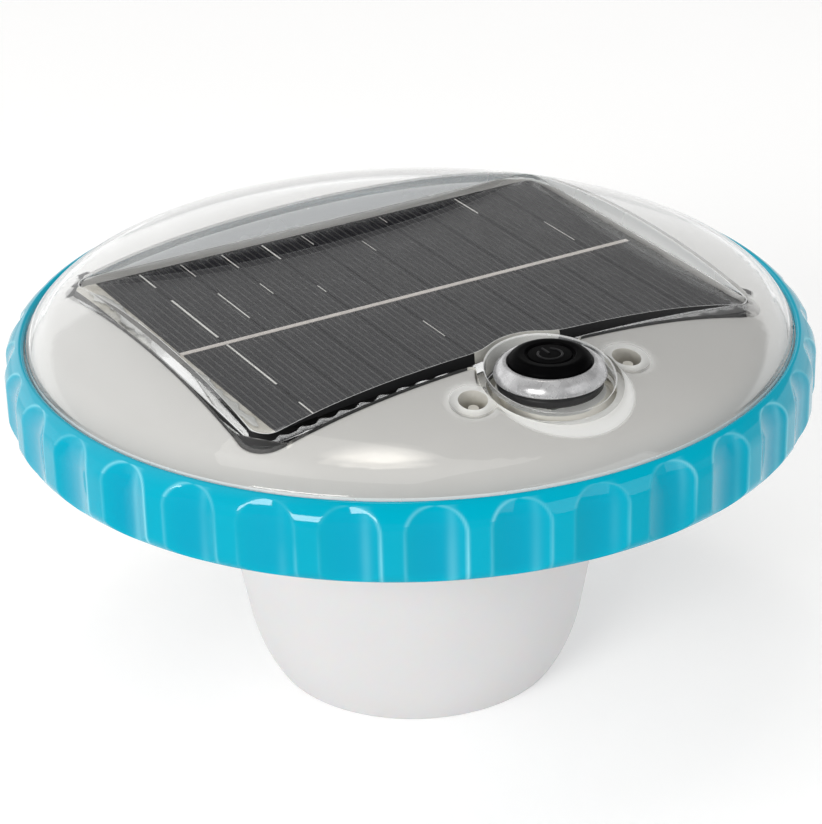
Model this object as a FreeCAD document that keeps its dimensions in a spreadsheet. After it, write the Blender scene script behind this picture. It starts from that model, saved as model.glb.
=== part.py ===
import FreeCAD, Part
import math
import os

import Sketcher

# Floating solar pool light, in millimetres.
# +Z is up and the origin is the centre of the bulb's flat foot. A clear dome with a sunken
# window covers the solar panel, a fluted grip ring locks the dome to the float pan, and the
# light bulb hangs below the pan with the battery inside it as ballast.

DIMENSIONS = {
    # outer shape of the float
    "ring_radius": 82.5,
    "ring_foot_radius": 81.35,
    "ring_bore": 80.3,
    "ring_base": 62.0,
    "ring_belly_low": 64.6,
    "ring_belly_high": 71.8,
    "ring_crest": 77.2,
    "ring_crest_radius": 79.3,
    "ring_lip_radius": 78.2,
    "ring_lip_under": 75.7,
    "ring_shoulder_round": 6.2,
    "ring_foot_round": 4.2,
    "ring_crest_round": 0.9,
    "ring_edge_break": 0.6,
    "flute_count": 33,
    "flute_depth": 1.2,
    "flute_round": 11.4,
    # dome: three tangent arcs from the apex to the rim
    "dome_apex": 91.75,
    "crown_round": 315.0,
    "crown_reach": 50.0,
    "shoulder_round": 112.0,
    "shoulder_reach": 72.0,
    "edge_round": 13.0,
    "dome_rim_radius": 77.9,
    "dome_wall": 2.2,
    "flange_radius": 78.9,
    "flange_low": 73.4,
    "flange_high": 75.4,
    "trim_height": 100.0,
    # window pocket, turned about the vertical axis
    "panel_turn": 29.4,
    "window_half_length": 55.5,
    "window_half_width": 42.1,
    "window_corner": 4.0,
    "window_floor": 83.2,
    "window_sheet": 2.0,
    # button recess and its tube and posts
    "button_reach": 53.4,
    "recess_radius": 12.3,
    "recess_wall": 1.5,
    "recess_floor": 83.8,
    "boss_under": 81.6,
    "tube_radius": 12.2,
    "tube_wall": 1.6,
    "tube_base": 77.8,
    "switch_hole": 6.15,
    "post_spread": 17.0,
    "post_radius": 2.8,
    "post_pilot": 1.0,
    "post_top": 85.0,
    # inner deck
    "deck_gap": 0.5,
    "deck_wall": 1.5,
    "deck_foot": 73.4,
    "tray_clearance": 0.2,
    "tray_floor": 78.0,
    "tray_sheet": 1.4,
    "tray_open_length": 46.0,
    "tray_open_width": 31.0,
    "well_radius": 14.2,
    "well_ear_radius": 4.4,
    "well_floor": 77.6,
    "well_sheet": 1.4,
    "well_wall": 1.3,
    "well_bore": 7.4,
    "screw_clearance": 1.3,
    # float pan
    "pan_wall_radius": 77.6,
    "pan_wall": 2.4,
    "pan_base": 64.0,
    "pan_sheet": 2.2,
    "pan_rim_radius": 78.9,
    "pan_rim_inner": 74.3,
    "pan_rim_under": 70.9,
    "pan_rim_top": 73.2,
    "pan_hole": 45.6,
    "pan_base_round": 3.0,
    "seal_radius": 77.0,
    "seal_groove_half": 0.8,
    "seal_groove_depth": 1.2,
    "seal_section": 0.69,
    "bulb_seal_radius": 49.0,
    "bulb_seal_groove_half": 0.9,
    "bulb_seal_groove_depth": 0.9,
    "bulb_seal_section": 0.64,
    # bayonet between the pan and the ring
    "bayonet_count": 6,
    "tab_radius": 80.0,
    "tab_low": 67.0,
    "tab_high": 69.5,
    "tab_span": 18.0,
    "lug_inner": 79.2,
    "lug_low": 64.2,
    "lug_high": 66.7,
    "lug_span": 16.0,
    "stop_span": 2.0,
    "lock_stop_turn": 9.4,
    "open_stop_turn": 29.4,
    # bulb
    "bulb_ball": 36.0,
    "bulb_ball_height": 19.4,
    "bulb_taper": 10.3,
    "bulb_wall": 2.0,
    "bulb_foot_wall": 2.4,
    "bulb_neck_top": 66.6,
    "bulb_flange_radius": 52.0,
    "bulb_flange_sheet": 2.0,
    # clamp ring that holds the bulb
    "clamp_base": 68.8,
    "clamp_sheet": 2.0,
    "clamp_inner": 41.0,
    "clamp_outer": 61.0,
    "clamp_bolt_circle": 57.0,
    "clamp_bolt_turn": 30.0,
    "boss_radius": 3.4,
    "clamp_screw_count": 6,
    "screw_shank": 1.25,
    "screw_head": 2.6,
    "screw_head_height": 1.8,
    "screw_slot": 0.7,
    "clamp_screw_length": 4.0,
    "deck_screw_length": 5.0,
    # light board
    "board_radius": 46.0,
    "board_base": 71.0,
    "board_sheet": 1.6,
    "board_bolt_circle": 43.6,
    "board_screw_count": 4,
    "board_screw_length": 3.0,
    "led_circle": 30.0,
    "led_count": 12,
    "led_side": 5.0,
    "led_height": 1.6,
    "led_lens": 1.9,
    "socket_pitch": 9.0,
    "socket_long": 6.5,
    "socket_wide": 4.5,
    "socket_tall": 3.2,
    "socket_north": 30.0,
    # components on top of the light board: size and place of each
    "charge_chip_long": 6.0,
    "charge_chip_wide": 5.0,
    "charge_chip_tall": 1.5,
    "charge_chip_east": -16.0,
    "charge_chip_north": -22.0,
    "driver_chip_long": 5.0,
    "driver_chip_wide": 4.0,
    "driver_chip_tall": 1.2,
    "driver_chip_east": 22.0,
    "driver_chip_north": 12.0,
    "power_inductor_long": 6.0,
    "power_inductor_wide": 6.0,
    "power_inductor_tall": 3.0,
    "power_inductor_east": -28.0,
    "power_inductor_north": 2.0,
    "storage_capacitor_radius": 3.1,
    "storage_capacitor_tall": 3.4,
    "storage_capacitor_east": -4.0,
    "storage_capacitor_north": -31.0,
    # battery pack
    "cell_radius": 7.25,
    "cell_length": 48.5,
    "cell_base": 18.2,
    "cell_circle": 9.2,
    "cell_button_radius": 2.7,
    "cell_button_height": 1.5,
    "cell_count": 3,
    "holder_radius": 18.0,
    "holder_bore": 7.45,
    "holder_base": 14.0,
    "holder_floor": 16.0,
    "holder_top": 69.0,
    "holder_lid_sheet": 1.9,
    "contact_radius": 5.0,
    "contact_sheet": 0.4,
    "spring_wire": 0.35,
    "spring_coil": 3.2,
    # solar panel
    "board_half_length": 55.3,
    "board_half_width": 41.0,
    "board_corner": 2.5,
    "solar_base": 78.1,
    "solar_sheet": 2.5,
    "cell_rows": 2,
    "cell_columns": 11,
    "cells_start": -51.0,
    "cells_end": 53.8,
    "cells_half_width": 39.7,
    "cell_gap": 0.35,
    "ribbon_gap": 1.5,
    "wafer_sheet": 0.25,
    "ribbon_sheet": 0.3,
    "bead_along": -53.2,
    "bead_half_length": 1.6,
    "bead_half_width": 34.0,
    # push switch
    "bezel_radius": 10.75,
    "bezel_under": 86.1,
    "bezel_edge": 0.6,
    "bezel_lip": 89.1,
    "bezel_lip_radius": 8.9,
    "bezel_bore": 8.25,
    "bezel_floor": 87.0,
    "bezel_round": 3.4,
    "barrel_radius": 6.0,
    "barrel_bore": 4.2,
    "barrel_base": 74.0,
    "gasket_radius": 10.1,
    "gasket_low": 83.8,
    "cap_radius": 7.95,
    "cap_low": 88.2,
    "cap_side": 89.4,
    "cap_top": 90.6,
    "cap_crest_radius": 5.6,
    "cap_round": 2.2,
    "cap_groove_radius": 4.9,
    "cap_groove_inner": 4.1,
    "cap_groove_depth": 0.5,
    "cap_skirt": 1.0,
    "cap_sheet": 1.3,
    "icon_radius": 2.3,
    "icon_line": 0.45,
    "icon_height": 0.2,
    "icon_gap": 60.0,
    "plunger_radius": 3.9,
    "plunger_base": 80.0,
    "nut_across": 15.0,
    "nut_low": 79.0,
    "nut_high": 81.5,
    "core_base": 72.4,
    "core_flange": 5.9,
    "core_plug_top": 75.6,
    "core_plug_radius": 4.1,
    "terminal_width": 2.0,
    "terminal_sheet": 0.5,
    "terminal_drop": 1.2,
    "terminal_spread": 2.6,
    "return_wire": 0.3,
    "return_coil": 3.0,
    "return_turns": 5,
    # leads
    "lead_section": 0.65,
    "blade_drop": 0.08,
    # small gaps between pieces that touch, and how far joined shapes reach into each other
    "rest_gap": 0.02,
    "fit_gap": 0.05,
    "plate_ease": 0.1,
    "seal_ease": 0.01,
    "ribbon_ease": 0.15,
    "ribbon_overhang": 0.4,
    "root_overlap": 0.4,
    "lug_root": 0.3,
    "boss_root": 0.2,
    "icon_root": 0.05,
    "nub_root": 0.1,
    "gasket_chamfer": 0.3,
    "gasket_step": 0.4,
    "gasket_neck": 0.5,
    "plunger_chamfer": 0.5,
}

doc = FreeCAD.newDocument("pool_light")
dims = doc.addObject("Spreadsheet::Sheet", "dims")
for row, (alias, number) in enumerate(DIMENSIONS.items(), start=1):
    dims.set(f"A{row}", alias.replace("_", " "))
    dims.set(f"B{row}", str(number))
    dims.setAlias(f"B{row}", alias)
doc.recompute()

subparts = []


def value(expression):
    """The number that an expression of the sheet's cells stands for."""
    found = dims.evalExpression(str(expression))
    return float(getattr(found, "Value", found))


def angle(expression):
    """An expression of a plain number of degrees as an angle."""
    return f"({expression}) * 1 deg"


# ---------------------------------------------------------------- document helpers


def keep(obj, label):
    """Names a finished sub-part. Its label is the name of its file."""
    obj.Label = label
    subparts.append(obj)
    return obj


def new_body(label):
    body = doc.addObject("PartDesign::Body", label)
    return keep(body, label)


def origin_item(body, role):
    return next(item for item in body.Origin.OriginFeatures if item.Role == role)


def place(obj, east="0", north="0", height="0", turn="0"):
    """Sets an object's placement from expressions of the sheet."""
    obj.setExpression("Placement.Base.x", east)
    obj.setExpression("Placement.Base.y", north)
    obj.setExpression("Placement.Base.z", height)
    obj.setExpression("Placement.Rotation.Angle", angle(turn))


def place_on_panel(obj, along="0", across="0", height="0"):
    """Places an object in the panel's own turned axes: along its length and across it."""
    cosine = f"cos({angle('dims.panel_turn')})"
    sine = f"sin({angle('dims.panel_turn')})"
    east = f"({along}) * {cosine} - ({across}) * {sine}"
    north = f"({along}) * {sine} + ({across}) * {cosine}"
    place(obj, east, north, height, "dims.panel_turn")


def place_at_button(obj, height="0"):
    place_on_panel(obj, "0", "-dims.button_reach", height)


def new_sketch(body, name, role="XZ_Plane", height=None, turn=None, along=None, across=None):
    """A sketch on one of the body's own origin planes, raised, turned or shifted if asked.

    An upright sketch turns about the body's vertical axis, which is its own second axis."""
    sketch = body.newObject("Sketcher::SketchObject", f"{body.Name}_{name}")
    sketch.AttachmentSupport = [(origin_item(body, role), "")]
    sketch.MapMode = "FlatFace"
    offsets = {"Base.z": height, "Base.x": along, "Base.y": across}
    if turn is not None:
        spin = FreeCAD.Vector(0, 0, 1) if role == "XY_Plane" else FreeCAD.Vector(0, 1, 0)
        sketch.AttachmentOffset = FreeCAD.Placement(
            FreeCAD.Vector(), FreeCAD.Rotation(spin, value(turn))
        )
        sketch.setExpression("AttachmentOffset.Rotation.Angle", angle(turn))
    for path, expression in offsets.items():
        if expression is not None:
            sketch.setExpression(f"AttachmentOffset.{path}", expression)
    return sketch


def fix_point(sketch, geometry, position, x, y):
    """Ties a point of a sketch to the origin by two expressions."""
    for kind, expression in (("DistanceX", x), ("DistanceY", y)):
        number = value(expression)
        index = sketch.addConstraint(
            Sketcher.Constraint(kind, -1, 1, geometry, position, number)
        )
        sketch.setExpression(f"Constraints[{index}]", str(expression))


def arc_through(start, end, radius, side):
    """The shorter arc from start to end. Side 1 has its centre on the left, -1 on the right."""
    chord = end - start
    middle = (start + end) * 0.5
    rise = math.sqrt(max(radius**2 - (chord.Length / 2) ** 2, 0.0))
    normal = FreeCAD.Vector(-chord.y, chord.x, 0).normalize()
    centre = middle + normal * rise * side
    first, last = (start, end) if side > 0 else (end, start)
    start_angle = math.atan2(first.y - centre.y, first.x - centre.x)
    end_angle = math.atan2(last.y - centre.y, last.x - centre.x)
    if end_angle <= start_angle:
        end_angle += 2 * math.pi
    circle = Part.Circle(centre, FreeCAD.Vector(0, 0, 1), radius)
    return Part.ArcOfCircle(circle, start_angle, end_angle)


def outline(sketch, corners):
    """A closed outline. A corner is (x, y), or (x, y, radius, side) where an arc leaves it."""
    points = [FreeCAD.Vector(value(c[0]), value(c[1]), 0) for c in corners]
    ends = []
    for index, corner in enumerate(corners):
        start, end = points[index], points[(index + 1) % len(points)]
        if len(corner) == 2:
            geometry = sketch.addGeometry(Part.LineSegment(start, end), False)
            ends.append((geometry, 1, 2))
            continue
        radius, side = corner[2], corner[3]
        arc = arc_through(start, end, value(radius), side)
        geometry = sketch.addGeometry(arc, False)
        ends.append((geometry, 1, 2) if side > 0 else (geometry, 2, 1))
        constraint = sketch.addConstraint(Sketcher.Constraint("Radius", geometry, value(radius)))
        sketch.setExpression(f"Constraints[{constraint}]", str(radius))
    for index, (geometry, first, last) in enumerate(ends):
        following, following_first, _ = ends[(index + 1) % len(ends)]
        sketch.addConstraint(
            Sketcher.Constraint("Coincident", geometry, last, following, following_first)
        )
        fix_point(sketch, geometry, first, corners[index][0], corners[index][1])


def circle(sketch, radius, x="0", y="0"):
    centre = FreeCAD.Vector(value(x), value(y), 0)
    shape = Part.Circle(centre, FreeCAD.Vector(0, 0, 1), value(radius))
    geometry = sketch.addGeometry(shape, False)
    fix_point(sketch, geometry, 3, x, y)
    constraint = sketch.addConstraint(Sketcher.Constraint("Radius", geometry, value(radius)))
    sketch.setExpression(f"Constraints[{constraint}]", str(radius))


def rounded_rectangle(sketch, half_length, half_width, corner):
    """A rectangle centred on the sketch, with rounded corners."""
    flat_length = f"({half_length}) - ({corner})"
    flat_width = f"({half_width}) - ({corner})"
    outline(
        sketch,
        [
            (f"-({flat_length})", f"-({half_width})"),
            (flat_length, f"-({half_width})", corner, 1),
            (half_length, f"-({flat_width})"),
            (half_length, flat_width, corner, 1),
            (flat_length, half_width),
            (f"-({flat_length})", half_width, corner, 1),
            (f"-({half_length})", flat_width),
            (f"-({half_length})", f"-({flat_width})", corner, 1),
        ],
    )


def rectangle(sketch, low_x, low_y, high_x, high_y):
    outline(sketch, [(low_x, low_y), (high_x, low_y), (high_x, high_y), (low_x, high_y)])


def feature(body, kind, name, sketch):
    made = body.newObject(f"PartDesign::{kind}", f"{body.Name}_{name}")
    made.Profile = sketch
    return made


def revolve(body, name, sketch, kind="Revolution", span="360"):
    """Turns a profile about the body's vertical axis, to both sides of its plane."""
    made = feature(body, kind, name, sketch)
    made.ReferenceAxis = (sketch, ["V_Axis"])
    made.Midplane = True
    made.setExpression("Angle", angle(span))
    return made


def pad(body, name, sketch, length):
    made = feature(body, "Pad", name, sketch)
    made.setExpression("Length", length)
    return made


def pocket_up(body, name, sketch, length="dims.trim_height"):
    """Cuts from the sketch's plane upwards."""
    made = feature(body, "Pocket", name, sketch)
    made.Reversed = True
    made.setExpression("Length", length)
    return made


def around(body, name, features, count):
    """Repeats features evenly about the body's vertical axis."""
    made = body.newObject("PartDesign::PolarPattern", f"{body.Name}_{name}")
    made.Originals = features
    made.Axis = (origin_item(body, "Z_Axis"), [""])
    made.Angle = 360
    made.setExpression("Occurrences", count)
    body.Tip = made
    return made


def turned(label, corners, placed=None):
    """A plain turned piece: one closed profile about the vertical axis."""
    body = new_body(label)
    sketch = new_sketch(body, "profile")
    outline(sketch, corners)
    revolve(body, "turned", sketch)
    if placed:
        placed(body)
    return body


def ring_section(label, radius, height, section, placed=None):
    """An O-ring."""
    body = new_body(label)
    sketch = new_sketch(body, "section")
    circle(sketch, section, radius, height)
    revolve(body, "turned", sketch)
    if placed:
        placed(body)
    return body


# ---------------------------------------------------------------- dome surface


CROWN_TURN = "asin(dims.crown_reach / dims.crown_round)"
CROWN_HEIGHT = "(dims.dome_apex - dims.crown_round)"
SHOULDER_EAST = f"((dims.crown_round - dims.shoulder_round) * sin({CROWN_TURN}))"
SHOULDER_HEIGHT = (
    f"({CROWN_HEIGHT} + (dims.crown_round - dims.shoulder_round) * cos({CROWN_TURN}))"
)
SHOULDER_TURN = f"asin((dims.shoulder_reach - {SHOULDER_EAST}) / dims.shoulder_round)"
EDGE_EAST = (
    f"({SHOULDER_EAST} + (dims.shoulder_round - dims.edge_round) * sin({SHOULDER_TURN}))"
)
EDGE_HEIGHT = (
    f"({SHOULDER_HEIGHT} + (dims.shoulder_round - dims.edge_round) * cos({SHOULDER_TURN}))"
)
EDGE_TURN = f"asin((dims.dome_rim_radius - {EDGE_EAST}) / dims.edge_round)"


def dome_corners(depth):
    """Apex, crown end, shoulder end and rim of the surface that lies depth under the dome's."""
    apex = ("0", f"dims.dome_apex - ({depth})")
    crown = f"(dims.crown_round - ({depth}))"
    shoulder = f"(dims.shoulder_round - ({depth}))"
    edge = f"(dims.edge_round - ({depth}))"
    crown_end = (
        f"{crown} * sin({CROWN_TURN})",
        f"{CROWN_HEIGHT} + {crown} * cos({CROWN_TURN})",
    )
    shoulder_end = (
        f"{SHOULDER_EAST} + {shoulder} * sin({SHOULDER_TURN})",
        f"{SHOULDER_HEIGHT} + {shoulder} * cos({SHOULDER_TURN})",
    )
    rim = (
        f"{EDGE_EAST} + {edge} * sin({EDGE_TURN})",
        f"{EDGE_HEIGHT} + {edge} * cos({EDGE_TURN})",
    )
    return apex, crown_end, shoulder_end, rim, (crown, shoulder, edge)


def shell_profile(sketch, depth, wall, foot_corners):
    """A domed shell: its outer face lies depth under the dome's, then the foot, then its inner face."""
    apex, crown, shoulder, rim, radii = dome_corners(depth)
    inner_depth = f"({depth}) + ({wall})"
    inner_apex, inner_crown, inner_shoulder, inner_rim, inner_radii = dome_corners(inner_depth)
    outline(
        sketch,
        [
            (*apex, radii[0], -1),
            (*crown, radii[1], -1),
            (*shoulder, radii[2], -1),
            rim,
            *foot_corners(rim, inner_rim),
            (*inner_rim, inner_radii[2], 1),
            (*inner_shoulder, inner_radii[1], 1),
            (*inner_crown, inner_radii[0], 1),
            inner_apex,
        ],
    )


def trim_above(body, depth):
    """Cuts away whatever stands above the surface that lies depth under the dome's."""
    apex, crown, shoulder, rim, radii = dome_corners(depth)
    sketch = new_sketch(body, "trim_profile")
    outline(
        sketch,
        [
            (*apex, radii[0], -1),
            (*crown, radii[1], -1),
            (*shoulder, radii[2], -1),
            rim,
            (rim[0], "dims.trim_height"),
            ("0", "dims.trim_height"),
        ],
    )
    return revolve(body, "trim", sketch, kind="Groove")


def window_sketch(body, name, margin, height):
    """The window's rounded rectangle, larger by margin, at a height."""
    sketch = new_sketch(body, name, "XY_Plane", height=height, turn="dims.panel_turn")
    rounded_rectangle(
        sketch,
        f"dims.window_half_length + ({margin})",
        f"dims.window_half_width + ({margin})",
        f"dims.window_corner + ({margin})",
    )
    return sketch


def button_sketch(body, name, radii, height):
    """Circles about the button's axis, at a height."""
    sketch = new_sketch(
        body,
        name,
        "XY_Plane",
        height=height,
        turn="dims.panel_turn",
        along=f"dims.button_reach * sin({angle('dims.panel_turn')})",
        across=f"-dims.button_reach * cos({angle('dims.panel_turn')})",
    )
    for radius in radii:
        circle(sketch, radius)
    return sketch


def ear_sketch(body, name, radius, height):
    """Two circles either side of the button, along the panel's length."""
    sketch = button_sketch(body, name, [], height)
    for side in ("-dims.post_spread", "dims.post_spread"):
        circle(sketch, radius, side)
    return sketch


# ---------------------------------------------------------------- casing


CLAMP_SPOT = (
    f"dims.clamp_bolt_circle * cos({angle('dims.clamp_bolt_turn')})",
    f"dims.clamp_bolt_circle * sin({angle('dims.clamp_bolt_turn')})",
)
BOARD_SPOT = ("dims.board_bolt_circle", "0")


def make_dome_cover():
    body = new_body("dome_cover")
    sketch = new_sketch(body, "profile")
    shell_profile(
        sketch,
        "0",
        "dims.dome_wall",
        lambda rim, inner: [
            (rim[0], "dims.flange_high"),
            ("dims.flange_radius", "dims.flange_high"),
            ("dims.flange_radius", "dims.flange_low"),
            (inner[0], "dims.flange_low"),
        ],
    )
    revolve(body, "shell", sketch)
    under = "dims.window_floor - dims.window_sheet"
    block = window_sketch(body, "block", "dims.dome_wall", under)
    pad(body, "window_block", block, f"dims.trim_height - ({under})")
    cut = window_sketch(body, "cut", "0", "dims.window_floor")
    pocket_up(body, "window", cut)
    # the wall round the button recess bulges into the window
    wall = "dims.recess_radius + dims.recess_wall"
    boss = button_sketch(body, "boss", [wall], "dims.boss_under")
    pad(body, "button_boss", boss, "dims.trim_height - dims.boss_under")
    trim_above(body, "0")
    recess = button_sketch(body, "recess_cut", ["dims.recess_radius"], "dims.recess_floor")
    pocket_up(body, "recess", recess)
    tube = button_sketch(
        body, "tube", ["dims.tube_radius", "dims.tube_radius - dims.tube_wall"], "dims.tube_base"
    )
    pad(body, "switch_tube", tube, "dims.boss_under - dims.tube_base")
    posts = ear_sketch(body, "posts", "dims.post_radius", "dims.tube_base")
    pad(body, "screw_posts", posts, "dims.post_top - dims.tube_base")
    pilots = ear_sketch(body, "pilots", "dims.post_pilot", "dims.tube_base")
    pocket_up(body, "post_holes", pilots, "dims.boss_under - dims.tube_base")
    hole = button_sketch(body, "hole", ["dims.switch_hole"], "dims.tube_base")
    pocket_up(body, "switch_hole", hole)


def make_inner_deck():
    body = new_body("inner_deck")
    depth = "dims.dome_wall + dims.deck_gap"
    sketch = new_sketch(body, "profile")
    shell_profile(
        sketch,
        depth,
        "dims.deck_wall",
        lambda rim, inner: [(rim[0], "dims.deck_foot"), (inner[0], "dims.deck_foot")],
    )
    revolve(body, "shell", sketch)
    inside = "dims.dome_wall + dims.tray_clearance"
    outside = f"{inside} + dims.deck_wall"
    under = "dims.tray_floor - dims.tray_sheet"
    block = window_sketch(body, "block", outside, under)
    pad(body, "tray_block", block, f"dims.trim_height - ({under})")
    well_under = "dims.well_floor - dims.well_sheet"
    well = button_sketch(body, "well", ["dims.well_radius + dims.well_wall"], well_under)
    pad(body, "well_block", well, f"dims.trim_height - ({well_under})")
    ears = ear_sketch(body, "ears", "dims.well_ear_radius + dims.well_wall", well_under)
    pad(body, "ear_blocks", ears, f"dims.trim_height - ({well_under})")
    trim_above(body, depth)
    cut = window_sketch(body, "cut", inside, "dims.tray_floor")
    pocket_up(body, "tray", cut)
    opening = new_sketch(body, "opening", "XY_Plane", height=under, turn="dims.panel_turn")
    rounded_rectangle(
        opening, "dims.tray_open_length", "dims.tray_open_width", "dims.window_corner"
    )
    pocket_up(body, "tray_opening", opening)
    well_cut = button_sketch(body, "well_cut", ["dims.well_radius"], "dims.well_floor")
    pocket_up(body, "well", well_cut)
    ear_cut = ear_sketch(body, "ear_cut", "dims.well_ear_radius", "dims.well_floor")
    pocket_up(body, "ears", ear_cut)
    bore = button_sketch(body, "bore", ["dims.well_bore"], well_under)
    pocket_up(body, "switch_way", bore)
    screws = ear_sketch(body, "screw_holes", "dims.screw_clearance", well_under)
    pocket_up(body, "screw_ways", screws)


def make_float_pan():
    body = new_body("float_pan")
    sketch = new_sketch(body, "profile")
    wall_inner = "dims.pan_wall_radius - dims.pan_wall"
    floor = "dims.pan_base + dims.pan_sheet"
    outline(
        sketch,
        [
            ("dims.pan_hole", "dims.pan_base"),
            ("dims.pan_wall_radius - dims.pan_base_round", "dims.pan_base", "dims.pan_base_round", 1),
            ("dims.pan_wall_radius", "dims.pan_base + dims.pan_base_round"),
            ("dims.pan_wall_radius", "dims.pan_rim_under"),
            ("dims.pan_rim_radius", "dims.pan_rim_under"),
            ("dims.pan_rim_radius", "dims.pan_rim_top"),
            ("dims.pan_rim_inner", "dims.pan_rim_top"),
            ("dims.pan_rim_inner", "dims.pan_rim_under"),
            (wall_inner, f"dims.pan_rim_under - ({wall_inner} - dims.pan_rim_inner)"),
            (wall_inner, floor),
            ("dims.pan_hole", floor),
        ],
    )
    revolve(body, "shell", sketch)
    groove = new_sketch(body, "seal_groove")
    rectangle(
        groove,
        "dims.seal_radius - dims.seal_groove_half",
        "dims.pan_rim_top - dims.seal_groove_depth",
        "dims.seal_radius + dims.seal_groove_half",
        "dims.pan_rim_top + dims.seal_groove_depth",
    )
    revolve(body, "rim_groove", groove, kind="Groove")
    inner_groove = new_sketch(body, "bulb_groove")
    rectangle(
        inner_groove,
        "dims.bulb_seal_radius - dims.bulb_seal_groove_half",
        f"{floor} - dims.bulb_seal_groove_depth",
        "dims.bulb_seal_radius + dims.bulb_seal_groove_half",
        f"{floor} + dims.bulb_seal_groove_depth",
    )
    revolve(body, "bulb_groove_cut", inner_groove, kind="Groove")
    bosses = new_sketch(body, "bosses", "XY_Plane", height=f"{floor} - dims.boss_root")
    circle(bosses, "dims.boss_radius", *CLAMP_SPOT)
    boss_height = f"dims.clamp_base - ({floor} - dims.boss_root) - dims.plate_ease"
    first_boss = pad(body, "boss", bosses, boss_height)
    around(body, "boss_ring", [first_boss], "dims.clamp_screw_count")
    pilots = new_sketch(body, "pilots", "XY_Plane", height=floor)
    circle(pilots, "dims.screw_shank", *CLAMP_SPOT)
    first_pilot = pocket_up(body, "pilot", pilots)
    around(body, "pilot_ring", [first_pilot], "dims.clamp_screw_count")
    tab = new_sketch(body, "tab")
    tab_root = "dims.pan_wall_radius - dims.root_overlap"
    rectangle(tab, tab_root, "dims.tab_low", "dims.tab_radius", "dims.tab_high")
    first_tab = revolve(body, "tab_turn", tab, span="dims.tab_span")
    around(body, "tab_ring", [first_tab], "dims.bayonet_count")
    stops = {"lock_stop": "-dims.lock_stop_turn", "open_stop": "dims.open_stop_turn"}
    for name, turn in stops.items():
        stop = new_sketch(body, name, turn=turn)
        rectangle(
            stop,
            tab_root,
            "dims.lug_low",
            "dims.tab_radius",
            "dims.tab_high",
        )
        made = revolve(body, f"{name}_turn", stop, span="dims.stop_span")
        around(body, f"{name}_ring", [made], "dims.bayonet_count")


def make_lock_ring():
    body = new_body("lock_ring")
    sketch = new_sketch(body, "profile")
    outline(
        sketch,
        [
            ("dims.ring_bore + dims.ring_edge_break", "dims.ring_base"),
            ("dims.ring_foot_radius", "dims.ring_base", "dims.ring_foot_round", 1),
            ("dims.ring_radius", "dims.ring_belly_low"),
            ("dims.ring_radius", "dims.ring_belly_high", "dims.ring_shoulder_round", 1),
            ("dims.ring_crest_radius", "dims.ring_crest", "dims.ring_crest_round", 1),
            ("dims.ring_lip_radius", "dims.ring_crest - dims.ring_edge_break"),
            ("dims.ring_lip_radius", "dims.ring_lip_under"),
            ("dims.ring_bore", "dims.ring_lip_under"),
            ("dims.ring_bore", "dims.ring_base + dims.ring_edge_break"),
        ],
    )
    revolve(body, "blank", sketch)
    flute = new_sketch(body, "flute", "XY_Plane", height="dims.ring_base - 1")
    circle(
        flute, "dims.flute_round", "dims.ring_radius - dims.flute_depth + dims.flute_round", "0"
    )
    first_flute = pocket_up(body, "flute_cut", flute)
    around(body, "flutes", [first_flute], "dims.flute_count")
    lug = new_sketch(body, "lug")
    rectangle(lug, "dims.lug_inner", "dims.lug_low", "dims.ring_bore + dims.lug_root", "dims.lug_high")
    first_lug = revolve(body, "lug_turn", lug, span="dims.lug_span")
    around(body, "lugs", [first_lug], "dims.bayonet_count")


def make_diffuser_bulb():
    body = new_body("diffuser_bulb")
    taper = angle("dims.bulb_taper")
    ball = "dims.bulb_ball"
    centre = "dims.bulb_ball_height"
    foot = f"sqrt({ball} ^ 2 - {centre} ^ 2)"
    joint_radius = f"{ball} * cos({taper})"
    joint_height = f"{centre} - {ball} * sin({taper})"
    neck = f"{joint_radius} + (dims.bulb_neck_top - ({joint_height})) * tan({taper})"
    inner_ball = f"({ball} - dims.bulb_wall)"
    inner_foot = f"sqrt({inner_ball} ^ 2 - ({centre} - dims.bulb_foot_wall) ^ 2)"
    inner_joint = f"{inner_ball} * cos({taper})"
    inner_joint_height = f"{centre} - {inner_ball} * sin({taper})"
    flange_top = "dims.bulb_neck_top + dims.bulb_flange_sheet"
    inner_neck = f"{inner_joint} + ({flange_top} - ({inner_joint_height})) * tan({taper})"
    sketch = new_sketch(body, "profile")
    outline(
        sketch,
        [
            ("0", "0"),
            (foot, "0", ball, 1),
            (joint_radius, joint_height),
            (neck, "dims.bulb_neck_top"),
            ("dims.bulb_flange_radius", "dims.bulb_neck_top"),
            ("dims.bulb_flange_radius", flange_top),
            (inner_neck, flange_top),
            (inner_joint, inner_joint_height, inner_ball, -1),
            (inner_foot, "dims.bulb_foot_wall"),
            ("0", "dims.bulb_foot_wall"),
        ],
    )
    revolve(body, "shell", sketch)


def make_bulb_clamp():
    body = new_body("bulb_clamp_ring")
    sketch = new_sketch(body, "profile")
    top = "dims.clamp_base + dims.clamp_sheet"
    rectangle(sketch, "dims.clamp_inner", "dims.clamp_base", "dims.clamp_outer", top)
    revolve(body, "plate", sketch)
    for name, radius, spot, count in (
        ("bolt_hole", "dims.screw_clearance + dims.plate_ease", CLAMP_SPOT, "dims.clamp_screw_count"),
        ("board_hole", "dims.screw_shank", BOARD_SPOT, "dims.board_screw_count"),
    ):
        hole = new_sketch(body, name, "XY_Plane", height="dims.clamp_base - 1")
        circle(hole, radius, *spot)
        first = pocket_up(body, f"{name}_cut", hole)
        around(body, f"{name}_ring", [first], count)


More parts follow.
